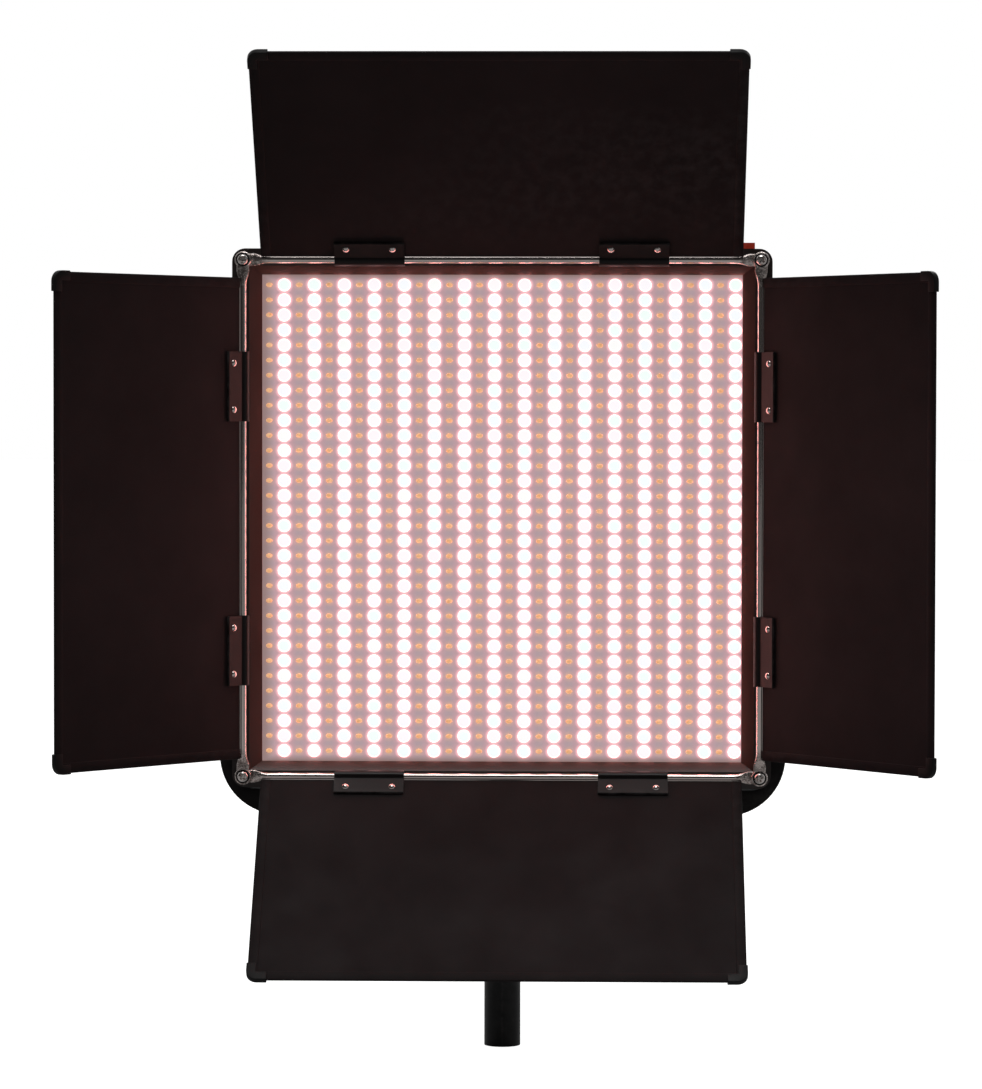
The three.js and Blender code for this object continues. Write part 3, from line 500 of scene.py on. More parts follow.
def rounded(profile, radius, steps=3):
    """A lathe profile with its inner corners rounded."""
    out = [profile[0]]
    for before, corner, after in zip(profile, profile[1:], profile[2:]):
        b, c, a = (Vector((*p, 0)).to_2d() for p in (before, corner, after))
        r = min(radius, (b - c).length * 0.45, (a - c).length * 0.45)
        start, end = c + (b - c).normalized() * r, c + (a - c).normalized() * r
        for i in range(steps + 1):
            t = i / steps
            point = start * (1 - t) ** 2 + c * 2 * t * (1 - t) + end * t * t
            out.append((point.x, point.y))
    out.append(profile[-1])
    return out


def prism(outline, low, high):
    """A bmesh: an outline of (x, y) pairs between two heights."""
    bm = bmesh.new()
    bottom = [bm.verts.new((x, y, low)) for x, y in outline]
    top = [bm.verts.new((x, y, high)) for x, y in outline]
    bm.faces.new(bottom[::-1])
    bm.faces.new(top)
    for i in range(len(outline)):
        j = (i + 1) % len(outline)
        bm.faces.new((bottom[i], bottom[j], top[j], top[i]))
    return bm


def absorb(target, other, matrix=None):
    """Adds another bmesh to target, moved by matrix."""
    mesh = bpy.data.meshes.new("part")
    other.to_mesh(mesh)
    other.free()
    if matrix:
        mesh.transform(matrix)
    target.from_mesh(mesh)
    bpy.data.meshes.remove(mesh)


def arc(cx, cy, radius, start, end, steps):
    """Points on an arc, from start to end in degrees."""
    out = []
    for i in range(steps + 1):
        angle = math.radians(start + (end - start) * i / steps)
        out.append((cx + radius * math.cos(angle), cy + radius * math.sin(angle)))
    return out


def turned(axis, x=0.0, y=0.0, z=0.0):
    """The matrix that stands a Z-axis shape along another axis."""
    spin = {
        "+x": Matrix.Rotation(math.pi / 2, 4, "Y"),
        "-x": Matrix.Rotation(-math.pi / 2, 4, "Y"),
        "+y": Matrix.Rotation(-math.pi / 2, 4, "X"),
        "-y": Matrix.Rotation(math.pi / 2, 4, "X"),
    }[axis]
    return Matrix.Translation((x, y, z)) @ spin


def carve(bm, tool):
    """bm with tool cut out of it."""
    parts = []
    for source in (bm, tool):
        bmesh.ops.recalc_face_normals(source, faces=source.faces)
        mesh = bpy.data.meshes.new("part")
        source.to_mesh(mesh)
        source.free()
        thing = bpy.data.objects.new("part", mesh)
        scene.collection.objects.link(thing)
        parts.append(thing)
    cutter = parts[0].modifiers.new("cut", "BOOLEAN")
    cutter.operation = "DIFFERENCE"
    cutter.solver = "EXACT"
    cutter.use_self = True
    cutter.object = parts[1]
    bpy.context.view_layer.update()
    result = bmesh.new()
    result.from_object(parts[0], bpy.context.evaluated_depsgraph_get())
    for thing in parts:
        mesh = thing.data
        bpy.data.objects.remove(thing)
        bpy.data.meshes.remove(mesh)
    return result


def ring_prism(radius_at, levels, facets):
    """A solid about Z whose outline is radius_at(angle, inset); levels are (height, inset)."""
    bm = bmesh.new()
    rings = []
    for height, inset in levels:
        ring = []
        for k in range(facets):
            angle = 2 * math.pi * k / facets
            radius = radius_at(angle) - inset
            ring.append(bm.verts.new((radius * math.cos(angle), radius * math.sin(angle), height)))
        rings.append(ring)
    for low, high in zip(rings, rings[1:]):
        for k in range(facets):
            n = (k + 1) % facets
            bm.faces.new((low[k], low[n], high[n], high[k]))
    bm.faces.new(rings[0][::-1])
    bm.faces.new(rings[-1])
    return bm


# ---------------------------------------------------------------- leaves, clips and caps

# each leaf's angle out of the panel's plane and its turn about Y, in degrees
LEAVES = {"top": (41, 0), "bottom": (45, 180), "left": (50, -90), "right": (52, 90)}
ROD_SPAN = 148.3
ACROSS_Y = -51.0
UPRIGHT_Y = -53.0
LEAF_HALF, LEAF_START, LEAF_END, LEAF_CORNER = 138.0, 3.0, 147.0, 6.0
CLIP_AT = 75.7
CLIP_REACH = 20
CLIP_HALF = 2.2
RIVET_AT = 13.3
RIVET_Z = 9.0


def leaf_matrix(side):
    """From a leaf's own frame, whose X is the rod and whose Z points away from it, to the rest pose."""
    rest, turn = LEAVES[side]
    angle = math.radians(rest)
    spin = Matrix.Rotation(math.radians(turn), 4, "Y")
    if side in ("top", "bottom"):
        up = 1 if side == "top" else -1
        place = Matrix.Translation((0, ACROSS_Y, PIVOT_Z + up * ROD_SPAN))
        return place @ Matrix.Rotation(up * angle, 4, "X") @ spin
    right = 1 if side == "right" else -1
    place = Matrix.Translation((right * ROD_SPAN, UPRIGHT_Y, PIVOT_Z))
    return place @ Matrix.Rotation(-right * angle, 4, "Z") @ spin


def leaf_edge(inset):
    """The leaf's three free sides, moved inwards."""
    x, z, r = LEAF_HALF - inset, LEAF_END - inset, LEAF_CORNER - inset
    path = [(x, LEAF_START), (x, (LEAF_START + z) / 2)]
    path += arc(x - r, z - r, r, 0, 90, 8)
    path += arc(-x + r, z - r, r, 90, 180, 8)
    return path + [(-x, (LEAF_START + z) / 2), (-x, LEAF_START)]


def leaf_sheet():
    """The sheet with a folded hem on its three free sides; section is (distance from the edge, height)."""
    section = [
        (6.0, -0.5), (5.75, -0.52), (5.55, -0.74), (5.3, -0.8), (0.5, -0.8), (0.16, -0.66), (0.0, -0.3),
        (0.0, 0.3), (0.16, 0.66), (0.5, 0.8), (5.3, 0.8), (5.55, 0.74), (5.75, 0.52), (6.0, 0.5),
    ]
    bm = bmesh.new()
    rings = []
    for inset, y in section:
        rings.append([bm.verts.new((x, y, z)) for x, z in leaf_edge(min(inset, LEAF_CORNER - 0.05))])
    for near, far in zip(rings, rings[1:]):
        for k in range(len(near) - 1):
            bm.faces.new((near[k], near[k + 1], far[k + 1], far[k]))
    bm.faces.new(rings[0])
    bm.faces.new(rings[-1][::-1])
    bm.faces.new([ring[0] for ring in rings] + [ring[-1] for ring in rings[::-1]])
    return bm


def clip_strip():
    """A strip bent round the rod, with its two legs closed on the sheet."""
    inner, outer, slot_half, half, end, chamfer = 2.3, 3.7, 0.8, CLIP_HALF, 13.5, 0.4
    open_in = math.degrees(math.asin(slot_half / inner))
    open_out = math.degrees(math.asin(half / outer))
    outline = [(end - chamfer, -half), (end, -half + chamfer), (end, -slot_half)]
    outline += arc(0, 0, inner, 360 - open_in, open_in, 32)
    outline += [(end, slot_half), (end, half - chamfer), (end - chamfer, half)]
    outline += arc(0, 0, outer, open_out, 360 - open_out, 36)
    bm = prism(outline, -CLIP_REACH, CLIP_REACH)
    edges = [e for e in bm.edges if len(e.link_faces) == 2 and any(len(f.verts) > 4 for f in e.link_faces)]
    bmesh.ops.bevel(bm, geom=edges, offset=0.22, segments=2, profile=0.5, affect="EDGES", clamp_overlap=True)
    stand = Matrix(((0, 0, -1, 0), (0, 1, 0, 0), (1, 0, 0, 0), (0, 0, 0, 1)))
    out = bmesh.new()
    absorb(out, bm, stand)
    return out


def leaf_rivets():
    """Domed heads in front, flat ones behind."""
    out = bmesh.new()
    domed = [
        (0, 0.92), (0.55, 0.88), (1.1, 0.72), (1.6, 0.42), (1.93, 0.08), (2.05, -0.25), (1.4, -0.3),
        (0, -0.3),
    ]
    flat = [(0, 0.32), (1.7, 0.3), (2.0, 0.12), (2.05, -0.25), (0, -0.25)]
    for clip in (-1, 1):
        for rivet in (-1, 1):
            x = clip * CLIP_AT + rivet * RIVET_AT
            absorb(out, lathe(domed, 24), turned("-y", x, -CLIP_HALF, RIVET_Z))
            absorb(out, lathe(flat, 24), turned("+y", x, CLIP_HALF, RIVET_Z))
    return out


def build_leaves(paint, clip_paint, cap_plastic, chrome):
    for side in SIDES:
        place = leaf_matrix(side)
        body = f"leaf_{side}"
        finish_mesh(f"sheet_{side}", leaf_sheet(), body, paint, place, (f"leaf_{side}",))
        for number, end in ((1, -1), (2, 1)):
            at = place @ Matrix.Translation((end * CLIP_AT, 0, 0))
            node = f"clip_{side}_{number}"
            finish_mesh(f"hinge_{side}_{number}", clip_strip(), body, clip_paint, at, (node,))
            node = f"cap_{side}_{number}"
            refine(node, f"corner_{side}_{number}", body, cap_plastic, 0.45)
        finish_mesh(f"rivets_{side}", leaf_rivets(), body, chrome, place, ())


# ---------------------------------------------------------------- rods and corner screws

ROD_FACETS = 32
SCREW_SEAT_Y = -54.1
SCREW_HEAD = {"radius": 3.1, "height": 2.2, "shank_radius": 1.9, "length": 11.5}

def hinge_rod():
    """A rod along X; half is (distance from the eye's centre, half width, half thickness)."""
    bm = bmesh.new()
    half = [(3.2, 3.6, 0.8), (6.5, 3.6, 0.8), (8.0, 3.3, 1.0), (10, 2.7, 1.5), (12, 2.2, 1.85), (14, 2, 2)]
    stations = [(s - ROD_SPAN, w, t) for s, w, t in half]
    stations += [(ROD_SPAN - s, w, t) for s, w, t in half[::-1]]
    rings = []
    for x, wide, thick in stations:
        ring = []
        for k in range(ROD_FACETS):
            angle = 2 * math.pi * k / ROD_FACETS
            ring.append(bm.verts.new((x, thick * math.cos(angle), wide * math.sin(angle))))
        rings.append(ring)
    for low, high in zip(rings, rings[1:]):
        for k in range(ROD_FACETS):
            n = (k + 1) % ROD_FACETS
            bm.faces.new((low[k], low[n], high[n], high[k]))
    bm.faces.new(rings[0][::-1])
    bm.faces.new(rings[-1])
    eye = [(2.15, 0.6), (2.35, 0.8), (3.4, 0.8), (4.0, 0.72), (4.4, 0.52), (4.65, 0.28), (4.75, 0.0),
           (4.65, -0.4), (4.35, -0.8), (2.35, -0.8), (2.15, -0.6)]
    for end in (-1, 1):
        absorb(bm, lathe(eye, 40, closed=True), turned("-y", end * ROD_SPAN))
    return bm


def cross_tool(size, depth):
    """A tapering cross, for a screw's recess, pointing down from z = 0."""
    out = bmesh.new()
    for turn in (0, 90):
        bm = bmesh.new()
        wide, slim = size, size * 0.27
        for z, k in ((0.3, 1.06), (-depth, 0.45)):
            for sx, sy in ((-1, -1), (1, -1), (1, 1), (-1, 1)):
                bm.verts.new((sx * wide * k, sy * slim * (0.6 + 0.4 * k), z))
        v = list(bm.verts)
        bm.faces.new(v[3::-1])
        bm.faces.new(v[4:])
        for i in range(4):
            j = (i + 1) % 4
            bm.faces.new((v[i], v[j], v[4 + j], v[4 + i]))
        absorb(out, bm, Matrix.Rotation(math.radians(turn), 4, "Z"))
    return out


def pan_screw(radius, height, shank_radius, length):
    """A domed screw with a cross recess. Its seat is z = 0 and it points down."""
    profile = [(0, height), (radius * 0.45, height * 0.97), (radius * 0.75, height * 0.82),
               (radius * 0.93, height * 0.55), (radius, height * 0.25), (radius, 0.0), (shank_radius, 0.0),
               (shank_radius, -length), (0, -length)]
    head = lathe(profile, 32)
    tool = cross_tool(radius * 0.74, height * 0.95)
    moved = bmesh.new()
    absorb(moved, tool, Matrix.Translation((0, 0, height)))
    return carve(head, moved)


def build_rods(across, upright, steel, rubber):
    frames = {
        "rod_top": Matrix.Translation((0, ACROSS_Y, PIVOT_Z + ROD_SPAN)),
        "rod_bottom": Matrix.Translation((0, ACROSS_Y, PIVOT_Z - ROD_SPAN)),
        "rod_left": turned("+x", -ROD_SPAN, UPRIGHT_Y, PIVOT_Z),
        "rod_right": turned("+x", ROD_SPAN, UPRIGHT_Y, PIVOT_Z),
    }
    for node, place in frames.items():
        polished = across if node in ("rod_top", "rod_bottom") else upright
        finish_mesh(f"{node}_polished", hinge_rod(), "panel", polished, place, (node,))
    corner = 0
    for node in sorted(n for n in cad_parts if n.startswith("corner_screw")):
        low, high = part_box(node)
        x, z = (low.x + high.x) / 2 / MM, (low.z + high.z) / 2 / MM
        corner += 1
        twist = Matrix.Rotation(math.radians(17 + 31 * corner), 4, "Z")
        screw = pan_screw(**SCREW_HEAD)
        place = turned("-y", x, SCREW_SEAT_Y, z) @ twist
        finish_mesh(f"{node}_head", screw, "panel", steel, place, (node,))
        seal = rounded([(2.05, 0.12), (3.85, 0.12), (3.95, -0.27), (2.05, -0.27)], 0.08)
        finish_mesh(f"{node}_seal", lathe(seal, 32, closed=True), "panel", rubber, place, ())


# ---------------------------------------------------------------- LEDs


def dome(radius, height):
    """A lens's lathe profile, from its top to the middle of its foot."""
    shape = ((0.55, 0.92), (0.86, 0.68), (1.0, 0.3), (1.0, 0.0))
    return [(0, height)] + [(radius * r, height * h) for r, h in shape] + [(0, 0)]


def build_leds(lens, amber):
    lenses, chips = bmesh.new(), bmesh.new()
    lens_mesh = bpy.data.meshes.new("part")
    one = lathe(dome(LENS_RADIUS, LENS_HEIGHT), 18)
    one.to_mesh(lens_mesh)
    one.free()
    chip_mesh = bpy.data.meshes.new("part")
    one = lathe([(0, 0.9), (0.8, 0.82), (1.3, 0.5), (1.45, 0), (0, 0)], 14)
    bmesh.ops.scale(one, vec=(1.3, 0.9, 1.0), verts=one.verts)
    one.to_mesh(chip_mesh)
    one.free()
    for k in range(GRID):
        target, mesh = (chips, chip_mesh) if k % 2 == 0 else (lenses, lens_mesh)
        for j in range(GRID):
            place = turned("-y", column_x(k), BOARD_FRONT + 0.02, row_z(j))
            count = len(target.verts)
            target.from_mesh(mesh)
            target.verts.ensure_lookup_table()
            bmesh.ops.transform(target, matrix=place, verts=target.verts[count:])
    bpy.data.meshes.remove(lens_mesh)
    bpy.data.meshes.remove(chip_mesh)
    finish_mesh("led_lenses", lenses, "panel", lens, None, ())
    finish_mesh("led_chips", chips, "panel", amber, None, ())


# ---------------------------------------------------------------- tilt hardware and receiver

STUD_RADIUS = 4
STUD_BORE = 4.3
STUD_START = 143
STUD_END = 178
STUD_TURNS = 16
STUD_PITCH = 1.25
STUD_ROOT = 3.62
KNOB_SEAT = 165
KNOB_RADIUS = 17
KNOB_LOBE = 1.4
KNOB_LOBES = 7
TUBE_RADIUS = 10.6
TUBE_BORE = 8.1
TUBE_TOP = 115.5
HEX_ACROSS_HALF = 3.0
TSCREW_Z = 100
TSCREW_RADIUS = 3.0
TSCREW_TURNS = 14
TSCREW_PITCH = 0.9
TSCREW_ROOT = 2.6
TBAR_AT = 32


def knob_grip():
    """A lobed grip with a neck below and a flat boss on top."""
    def outline(angle):
        return KNOB_RADIUS + KNOB_LOBE * math.cos(KNOB_LOBES * angle)

    levels = [
        (4.3, 1.2), (4.7, 0.5), (5.5, 0.0), (13.2, 0.0), (14.2, 0.35), (14.8, 1.2), (15.0, 2.6), (14.6, 5.0),
    ]
    bm = ring_prism(outline, levels, 16 * KNOB_LOBES)
    neck = rounded([(0, 0.3), (10.2, 0.3), (10.2, 4.8), (0, 4.8)], 0.5)
    absorb(bm, lathe(neck, 48))
    boss = rounded([(0, 14.0), (6.0, 14.0), (6.0, 15.0), (0, 15.0)], 0.4)
    absorb(bm, lathe(boss, 48))
    return bm


def tilt_stud():
    """A stud along Z with a thread between its two plain ends."""
    profile = [(0, STUD_START), (3.4, STUD_START), (STUD_RADIUS, 143.6)]
    for i in range(STUD_TURNS):
        z = 144 + i * STUD_PITCH
        profile += [(STUD_RADIUS, z), (STUD_ROOT, z + 0.62)]
    return profile + [(STUD_RADIUS, 164.5), (STUD_RADIUS, 177.4), (3.4, STUD_END), (0, STUD_END)]


def build_tilt(steel, nylon, grip):
    """Bushes, washers, studs and knobs; the profiles run outwards from the panel's middle."""
    bush = [(STUD_BORE, 154.8), (10, 154.8), (10, 153.3), (6.7, 153.3), (6.7, 140), (STUD_BORE, 140)]
    bush = rounded(bush, 0.3)
    washer = rounded([(STUD_BORE, 156.2), (10, 156.2), (10, 155.1), (STUD_BORE, 155.1)], 0.25)
    for side, axis, sign in (("left", "-x", -1), ("right", "+x", 1)):
        place = turned(axis, 0, 0, PIVOT_Z)
        knob = f"knob_{side}"
        finish_mesh(
            f"bush_{side}", lathe(bush, 48, closed=True), "panel", steel, place,
            (f"pivot_bush_{side}",),
        )
        finish_mesh(
            f"washer_{side}", lathe(washer, 48, closed=True), "yoke", nylon, place,
            (f"pivot_washer_{side}",),
        )
        finish_mesh(
            f"stud_{side}", lathe(tilt_stud(), 32), knob, steel, place, (f"tilt_stud_{side}",),
        )
        at = turned(axis, sign * KNOB_SEAT, 0, PIVOT_Z)
        finish_mesh(f"grip_{side}", knob_grip(), knob, grip, at, (f"tilt_knob_{side}",))


def yoke_bolt():
    """A bolt on Z with a domed head and a hexagonal recess."""
    profile = [
        (0, 118.5), (4, 118.5), (4, 147.0), (8.3, 147.0), (8.3, 149.8), (8.0, 150.4), (7.3, 150.7),
        (0, 150.7),
    ]

    def hexagon(angle):
        return HEX_ACROSS_HALF / math.cos((angle + math.pi / 6) % (math.pi / 3) - math.pi / 6)

    return carve(lathe(profile, 48), ring_prism(hexagon, [(148.5, 0), (151.5, 0)], 36))


def clamp_handle():
    """The T-screw, along Y, with its cross bar."""
    screw = [(0, 8.8), (2.5, 8.8)]
    for i in range(TSCREW_TURNS):
        y = 9.2 + i * TSCREW_PITCH
        screw += [(TSCREW_RADIUS, y), (TSCREW_ROOT, y + TSCREW_PITCH / 2)]
    screw += [(3, 22.2), (5.2, 22.3), (5.5, 22.7), (5.5, 29.4), (5.0, 30), (3, 30.2), (3, 32), (0, 32)]
    half = [(0, 19), (1.6, 18.9), (2.5, 18.4), (3.3, 17.2), (3.5, 16.4)]
    bar = [(radius, -reach) for radius, reach in half] + half[::-1]
    bm = bmesh.new()
    absorb(bm, lathe(screw, 32), turned("+y", 0, 0, TSCREW_Z))
    absorb(bm, lathe(bar, 32), turned("+x", 0, TBAR_AT, TSCREW_Z))
    return bm


def build_receiver(paint, nylon, steel):
    body = "receiver"
    tube = rounded([(TUBE_BORE, TUBE_TOP), (TUBE_BORE, 0), (TUBE_RADIUS, 0), (TUBE_RADIUS, TUBE_TOP)], 0.4)
    finish_mesh(
        "tube", lathe(tube, 64, closed=True), body, paint, None, ("receiver_tube",),
    )
    collar = [
        (4.3, 133.5), (4.3, 115.8), (10.9, 115.8), (10.9, 88), (16, 88), (16.7, 88.3), (17, 89), (17, 95),
        (16.6, 95.5), (16.6, 96.5), (17, 97), (17, 132.5), (16.7, 133.2), (16, 133.5),
    ]
    bm = lathe(collar, 64, closed=True)
    boss = rounded([(3.3, 14), (3.3, 22), (7, 22), (7, 14)], 0.4)
    absorb(bm, lathe(boss, 40, closed=True), turned("+y", 0, 0, TSCREW_Z))
    finish_mesh("collar", bm, body, paint, None, ("receiver_collar",))
    washer = rounded([(4.3, 135.7), (14, 135.7), (14, 133.8), (4.3, 133.8)], 0.3)
    finish_mesh(
        "base_washer", lathe(washer, 48, closed=True), body, nylon, None, ("yoke_washer",),
    )
    finish_mesh("bolt", yoke_bolt(), body, steel, None, ("yoke_bolt",))
    finish_mesh("clamp_handle", clamp_handle(), "clamp_screw", steel, None, ("t_screw",))


# ---------------------------------------------------------------- controls on the back and top

# heights are measured from the tilt pivot
DIAL_X, DIAL_Z = 56, 30
DIAL_RADIUS, DIAL_KNURL, DIAL_TEETH = 7.82, 0.18, 36
KEY_X, KEY_Z = 14, 6
INLET_X, INLET_Z = 70, -45
DISPLAY_Z = 34
DISPLAY_HALF = (25.7, 12.7)
BAR_PITCH, BAR_ROW, BAR_HALF = 4.4, 5.2, (1.5, 2.6)
# (row, how many bars it shows)
BAR_ROWS = ((-1, 6), (1, 9))
BAR_COLUMNS = 10
ROCKER_PLACE = (138.8, -12, PIVOT_Z + 154)
ROCKER_LEAN = -8
ROCKER_HALF, ROCKER_RISE, ROCKER_DIP, ROCKER_FOOT = 9.5, 4.2, 2.6, -3.5
ROCKER_STEPS = 16


def knurled_dial():
    def outline(angle):
        return DIAL_RADIUS + DIAL_KNURL * math.cos(DIAL_TEETH * angle)

    levels = [(36.6, 0.5), (37.0, 0.0), (45.8, 0.0), (46.5, 0.35), (46.9, 0.9), (46.9, 1.6), (46.5, 2.2)]
    bm = ring_prism(outline, levels, 6 * DIAL_TEETH)
    shaft = [(0, 28.6), (3, 28.6), (3, 36.8), (0, 36.8)]
    absorb(bm, lathe(shaft, 32))
    return bm


def rectangle(x, z, half_x, half_z, low, high):
    """A block whose outline is centred at (x, z)."""
    left, right, bottom, top = x - half_x, x + half_x, z - half_z, z + half_z
    return prism([(left, bottom), (right, bottom), (right, top), (left, top)], low, high)


def build_dials_and_keys(dark, steel):
    key = [
        (0, 37.3), (1.8, 37.35), (3.0, 37.55), (3.6, 37.55), (3.9, 37.35), (4, 36.9), (4, 33.2), (5.2, 33.2),
        (5.2, 30.5), (0, 30.5),
    ]
    for number, side, sign in ((1, "left", -1), (2, "right", 1)):
        body = f"dial_{side}"
        place = turned("+y", sign * DIAL_X, 0, PIVOT_Z + DIAL_Z)
        finish_mesh(
            f"dial_{side}_grip", knurled_dial(), body, dark, place, (f"dial_{number}",),
        )
        mark = prism([(-0.45, 2.6), (0.45, 2.6), (0.45, 5.8), (-0.45, 5.8)], 46.45, 46.75)
        soften(mark, 0.1, 1)
        finish_mesh(f"dial_{side}_mark", mark, body, steel, place, ())
        place = turned("+y", sign * KEY_X, 0, PIVOT_Z + KEY_Z)
        finish_mesh(
            f"key_{side}_cap", lathe(key, 40), f"key_{side}", dark, place,
            (f"button_{number}",),
        )


def build_inlet(dark):
    profile = [
        (0, 25.3), (6, 25.3), (6, 36.3), (8.2, 36.3), (8.5, 36.6), (8.5, 37.4), (8.2, 37.8), (4.8, 37.8),
        (4.4, 37.4), (4.4, 27.3), (1.0, 27.3), (1.0, 35.2), (0.7, 35.7), (0, 35.8),
    ]
    place = turned("+y", INLET_X, 0, PIVOT_Z + INLET_Z)
    finish_mesh("inlet", lathe(profile, 48), "panel", dark, place, ("power_inlet",))


def build_display(glass, bars):
    """A dark window that shows two rows of plain bars."""
    place = turned("+y", 0, 0, PIVOT_Z + DISPLAY_Z)
    window = rectangle(0, 0, *DISPLAY_HALF, 34.5, 36.3)
    soften(window, 0.35, 2)
    finish_mesh("display", window, "panel", glass, place, ("display_window",))
    lines = bmesh.new()
    for column in range(BAR_COLUMNS):
        for row, reach in BAR_ROWS:
            if column < reach:
                absorb(lines, rectangle(-20 + column * BAR_PITCH, row * BAR_ROW, *BAR_HALF, 36.28, 36.36))
    finish_mesh("display_bars", lines, "panel", bars, place, ())


def build_rocker(red):
    """The switch's rocker, hollowed along its length."""
    outline = [
        (-ROCKER_HALF, ROCKER_RISE), (-ROCKER_HALF + 1, ROCKER_FOOT), (ROCKER_HALF - 1, ROCKER_FOOT),
        (ROCKER_HALF, ROCKER_RISE),
    ]
    for i in range(1, ROCKER_STEPS):
        t = i / ROCKER_STEPS
        x = ROCKER_HALF * (1 - t) ** 2 - ROCKER_HALF * t ** 2
        outline.append((x, ROCKER_RISE * (1 - t) ** 2 + 2 * ROCKER_DIP * t * (1 - t) + ROCKER_RISE * t ** 2))
    bm = prism(outline, -7, 7)
    soften(bm, 0.45, 3, 25)
    stand = Matrix(((0, 0, 1, 0), (1, 0, 0, 0), (0, 1, 0, 0), (0, 0, 0, 1)))
    lean = Matrix.Rotation(math.radians(ROCKER_LEAN), 4, "X")
    place = Matrix.Translation(ROCKER_PLACE) @ lean @ stand
    finish_mesh("rocker_red", bm, "rocker", red, place, ("power_rocker",))


COVER_SCREWS = (95, 35.3, 60)
SHELL_SCREWS = (145, 13.75)


def build_back_screws(steel):
    """Small screws that hold the cover and the shell."""
    out = bmesh.new()
    wide, cover_y, tall = COVER_SCREWS
    span, shell_y = SHELL_SCREWS
    places = [(sx * wide, cover_y, sz * tall) for sx in (-1, 1) for sz in (-1, 1)]
    places += [(sx * span, shell_y, sz * span) for sx in (-1, 1) for sz in (-1, 1)]
    places += [(sx * span, shell_y, 0) for sx in (-1, 1)] + [(0, shell_y, sz * span) for sz in (-1, 1)]
    for index, (x, y, z) in enumerate(places):
        twist = Matrix.Rotation(math.radians(23 * index), 4, "Z")
        absorb(out, pan_screw(2.6, 1.2, 1.4, 1.5), turned("+y", x, y + 0.3, PIVOT_Z + z) @ twist)
    finish_mesh("back_screws", out, "panel", steel, None, ())


# ---------------------------------------------------------------- everything together


YOKE_EDGE = 1.0
# node, its name in the scene, material, edge radius, slot, edge segments
PANEL_PIECES = (
    ("front_bezel", "bezel", "bezel", 0.7, "bezel_paint", 3),
    ("rear_shell", "shell", "shell", 0.8, "shell_plastic", 3),
    ("rear_cover", "cover", "shell", 0.6, "shell_plastic", 3),
    ("heat_sink", "sink", "sink", 0.3, "sink_aluminium", 1),
    ("driver_board", "driver", "circuit", 0.3, "circuit_board", 1),
    ("switch_frame", "rocker_frame", "dark", 0.4, "control_plastic", 2),
)


def build_panel(materials):
    for node, name, look, radius, slot, segments in PANEL_PIECES:
        refine(node, name, "panel", materials[look], radius, segments)
    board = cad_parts["led_board"]
    board.data.materials.clear()
    board.data.materials.append(materials["board"])


# name, colour, lighter colour, roughness, grain, grain depth, specular, and the tone of worn edges
PAINTS = {
    "bezel": ("bezel_black", (0.016, 0.010, 0.009), (0.028, 0.018, 0.016),
              0.36, 1500.0, 0.00003, 0.4, (0.07, 0.06, 0.058)),
    "shell": ("shell_black", (0.012, 0.0115, 0.0115), (0.022, 0.021, 0.021),
              0.5, 1100.0, 0.00006, 0.3, (0.06, 0.058, 0.058)),
    "leaf": ("leaf_black", (0.0090, 0.0062, 0.0065), (0.017, 0.0112, 0.0118),
             0.6, 1300.0, 0.00004, 0.12, (0.05, 0.045, 0.045)),
    "clip": ("clip_black", (0.0055, 0.0038, 0.0038), (0.011, 0.0075, 0.0075),
             0.34, 900.0, 0.00002, 0.24, (0.12, 0.11, 0.11)),
    "cap": ("cap_black", (0.0048, 0.0045, 0.0046), (0.010, 0.0092, 0.0094), 0.5, 900.0, 0.00004, 0.18),
    "yoke": ("yoke_black", (0.010, 0.0085, 0.0085), (0.016, 0.014, 0.014),
             0.6, 1000.0, 0.00005, 0.14, (0.09, 0.085, 0.08)),
    "receiver": ("receiver_black", (0.008, 0.0075, 0.0078), (0.015, 0.0145, 0.0145),
                 0.34, 700.0, 0.00002, 0.3, (0.10, 0.09, 0.09)),
    "dark": ("control_black", (0.012, 0.012, 0.012), (0.024, 0.024, 0.024),
             0.42, 1000.0, 0.00003, 0.3, (0.06, 0.06, 0.06)),
    "grip": ("knob_black", (0.010, 0.010, 0.010), (0.022, 0.022, 0.022),
             0.55, 800.0, 0.00008, 0.3, (0.06, 0.06, 0.06)),
    "red": ("rocker_gloss", (0.78, 0.045, 0.022), (0.88, 0.09, 0.045), 0.25, 500.0, 0.00001, 0.5),
    "nylon": ("nylon", (0.42, 0.41, 0.38), (0.52, 0.51, 0.48), 0.45, 600.0, 0.00002, 0.4),
    "circuit": ("circuit_green", (0.012, 0.085, 0.035), (0.03, 0.15, 0.06), 0.35, 400.0, 0.00002, 0.5),
    "glass": ("display_dark", (0.010, 0.014, 0.018), (0.016, 0.022, 0.028), 0.10, 200.0, 0.000003, 0.6),
    "bars": ("display_bar", (0.20, 0.30, 0.34), (0.30, 0.42, 0.46), 0.3, 300.0, 0.00001, 0.4),
}
# painted reddish LED light on the bezel's slopes, in two tones
SLOPE_LED_LIGHT = ((0.058, 0.016, 0.011), (0.095, 0.032, 0.024))


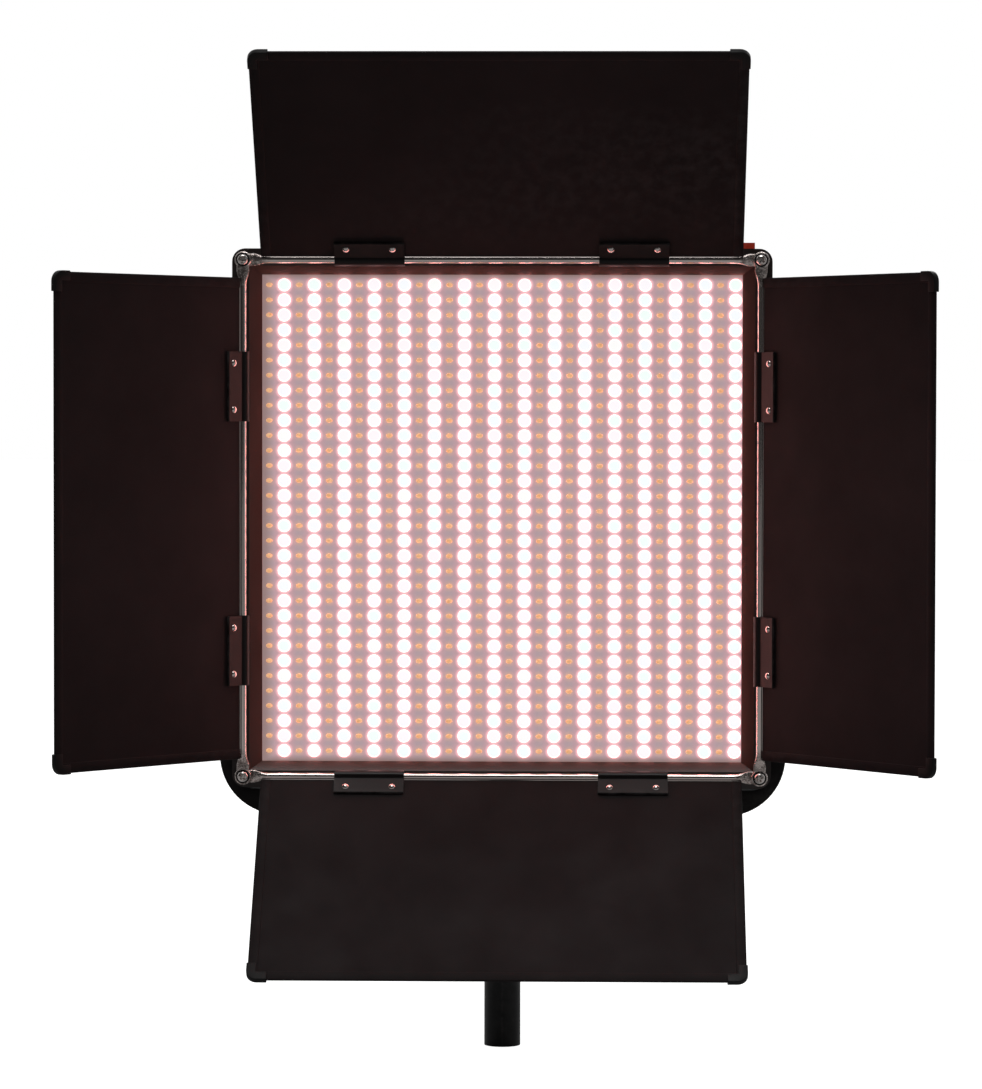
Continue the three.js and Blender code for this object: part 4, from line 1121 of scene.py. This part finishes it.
def make_materials():
    looks = {}
    for key, paint in PAINTS.items():
        looks[key] = painted(*paint, window=SLOPE_LED_LIGHT if key == "bezel" else None)
    looks["rod_across"] = rod_chrome("chrome_across", (0.01, 1.0, 1.0))
    looks["rod_upright"] = rod_chrome("chrome_upright", (1.0, 1.0, 0.01))
    looks["chrome"] = plated("chrome", (0.84, 0.76, 0.73), (0.52, 0.42, 0.39), 0.10)
    looks["steel"] = plated("nickel", (0.78, 0.72, 0.69), (0.42, 0.36, 0.34), 0.22)
    brushed = (1.0, 1.0, 0.03)
    looks["sink"] = plated("aluminium", (0.62, 0.63, 0.64), (0.42, 0.43, 0.44), 0.34, brushed, 0.00003)
    looks["board"] = board_material()
    looks["lens"] = lens_material()
    looks["amber"] = amber_material()
    return looks


FLOOR_SIZE = 60.0
FLOOR_CELLS = 24
FLOOR_SEEN = 0.97
FLOOR_GLOW = 0.02


def make_floor():
    """A plain floor that the camera sees as near white, and that throws little light up."""
    bm = bmesh.new()
    line = [FLOOR_SIZE * (i / FLOOR_CELLS - 0.5) for i in range(FLOOR_CELLS + 1)]
    rows = [[bm.verts.new((x, y, 0)) for x in line] for y in line]
    for near, far in zip(rows, rows[1:]):
        for i in range(FLOOR_CELLS):
            bm.faces.new((near[i], near[i + 1], far[i + 1], far[i]))
    mesh = bpy.data.meshes.new("floor")
    bm.to_mesh(mesh)
    bm.free()
    m = Nodes("floor_white")
    m.link(m.mix(m.noise(3.0), (0.38, 0.38, 0.38), (0.44, 0.44, 0.44)), m.shader.inputs["Base Color"])
    m.link(m.remap(m.noise(8.0), 0.3, 0.7, 0.75, 0.9), m.shader.inputs["Roughness"])
    seen = m.add("ShaderNodeLightPath").outputs["Is Camera Ray"]
    m.link(m.remap(seen, 0.0, 1.0, FLOOR_GLOW, FLOOR_SEEN), m.shader.inputs["Emission Strength"])
    m.set(Emission_Color=(1, 1, 1, 1))
    mesh.materials.append(m.material)
    floor = bpy.data.objects.new("floor", mesh)
    scene.collection.objects.link(floor)


make_camera()
make_studio()
make_floor()
looks = make_materials()
build_panel(looks)
build_leds(looks["lens"], looks["amber"])
build_rods(looks["rod_across"], looks["rod_upright"], looks["steel"], looks["cap"])
build_leaves(looks["leaf"], looks["clip"], looks["cap"], looks["chrome"])
build_dials_and_keys(looks["dark"], looks["steel"])
build_inlet(looks["dark"])
build_display(looks["glass"], looks["bars"])
build_rocker(looks["red"])
build_back_screws(looks["steel"])
refine("yoke", "bracket", "yoke", looks["yoke"], YOKE_EDGE)
build_tilt(looks["steel"], looks["nylon"], looks["grip"])
build_receiver(looks["receiver"], looks["nylon"], looks["steel"])

bpy.context.view_layer.update()
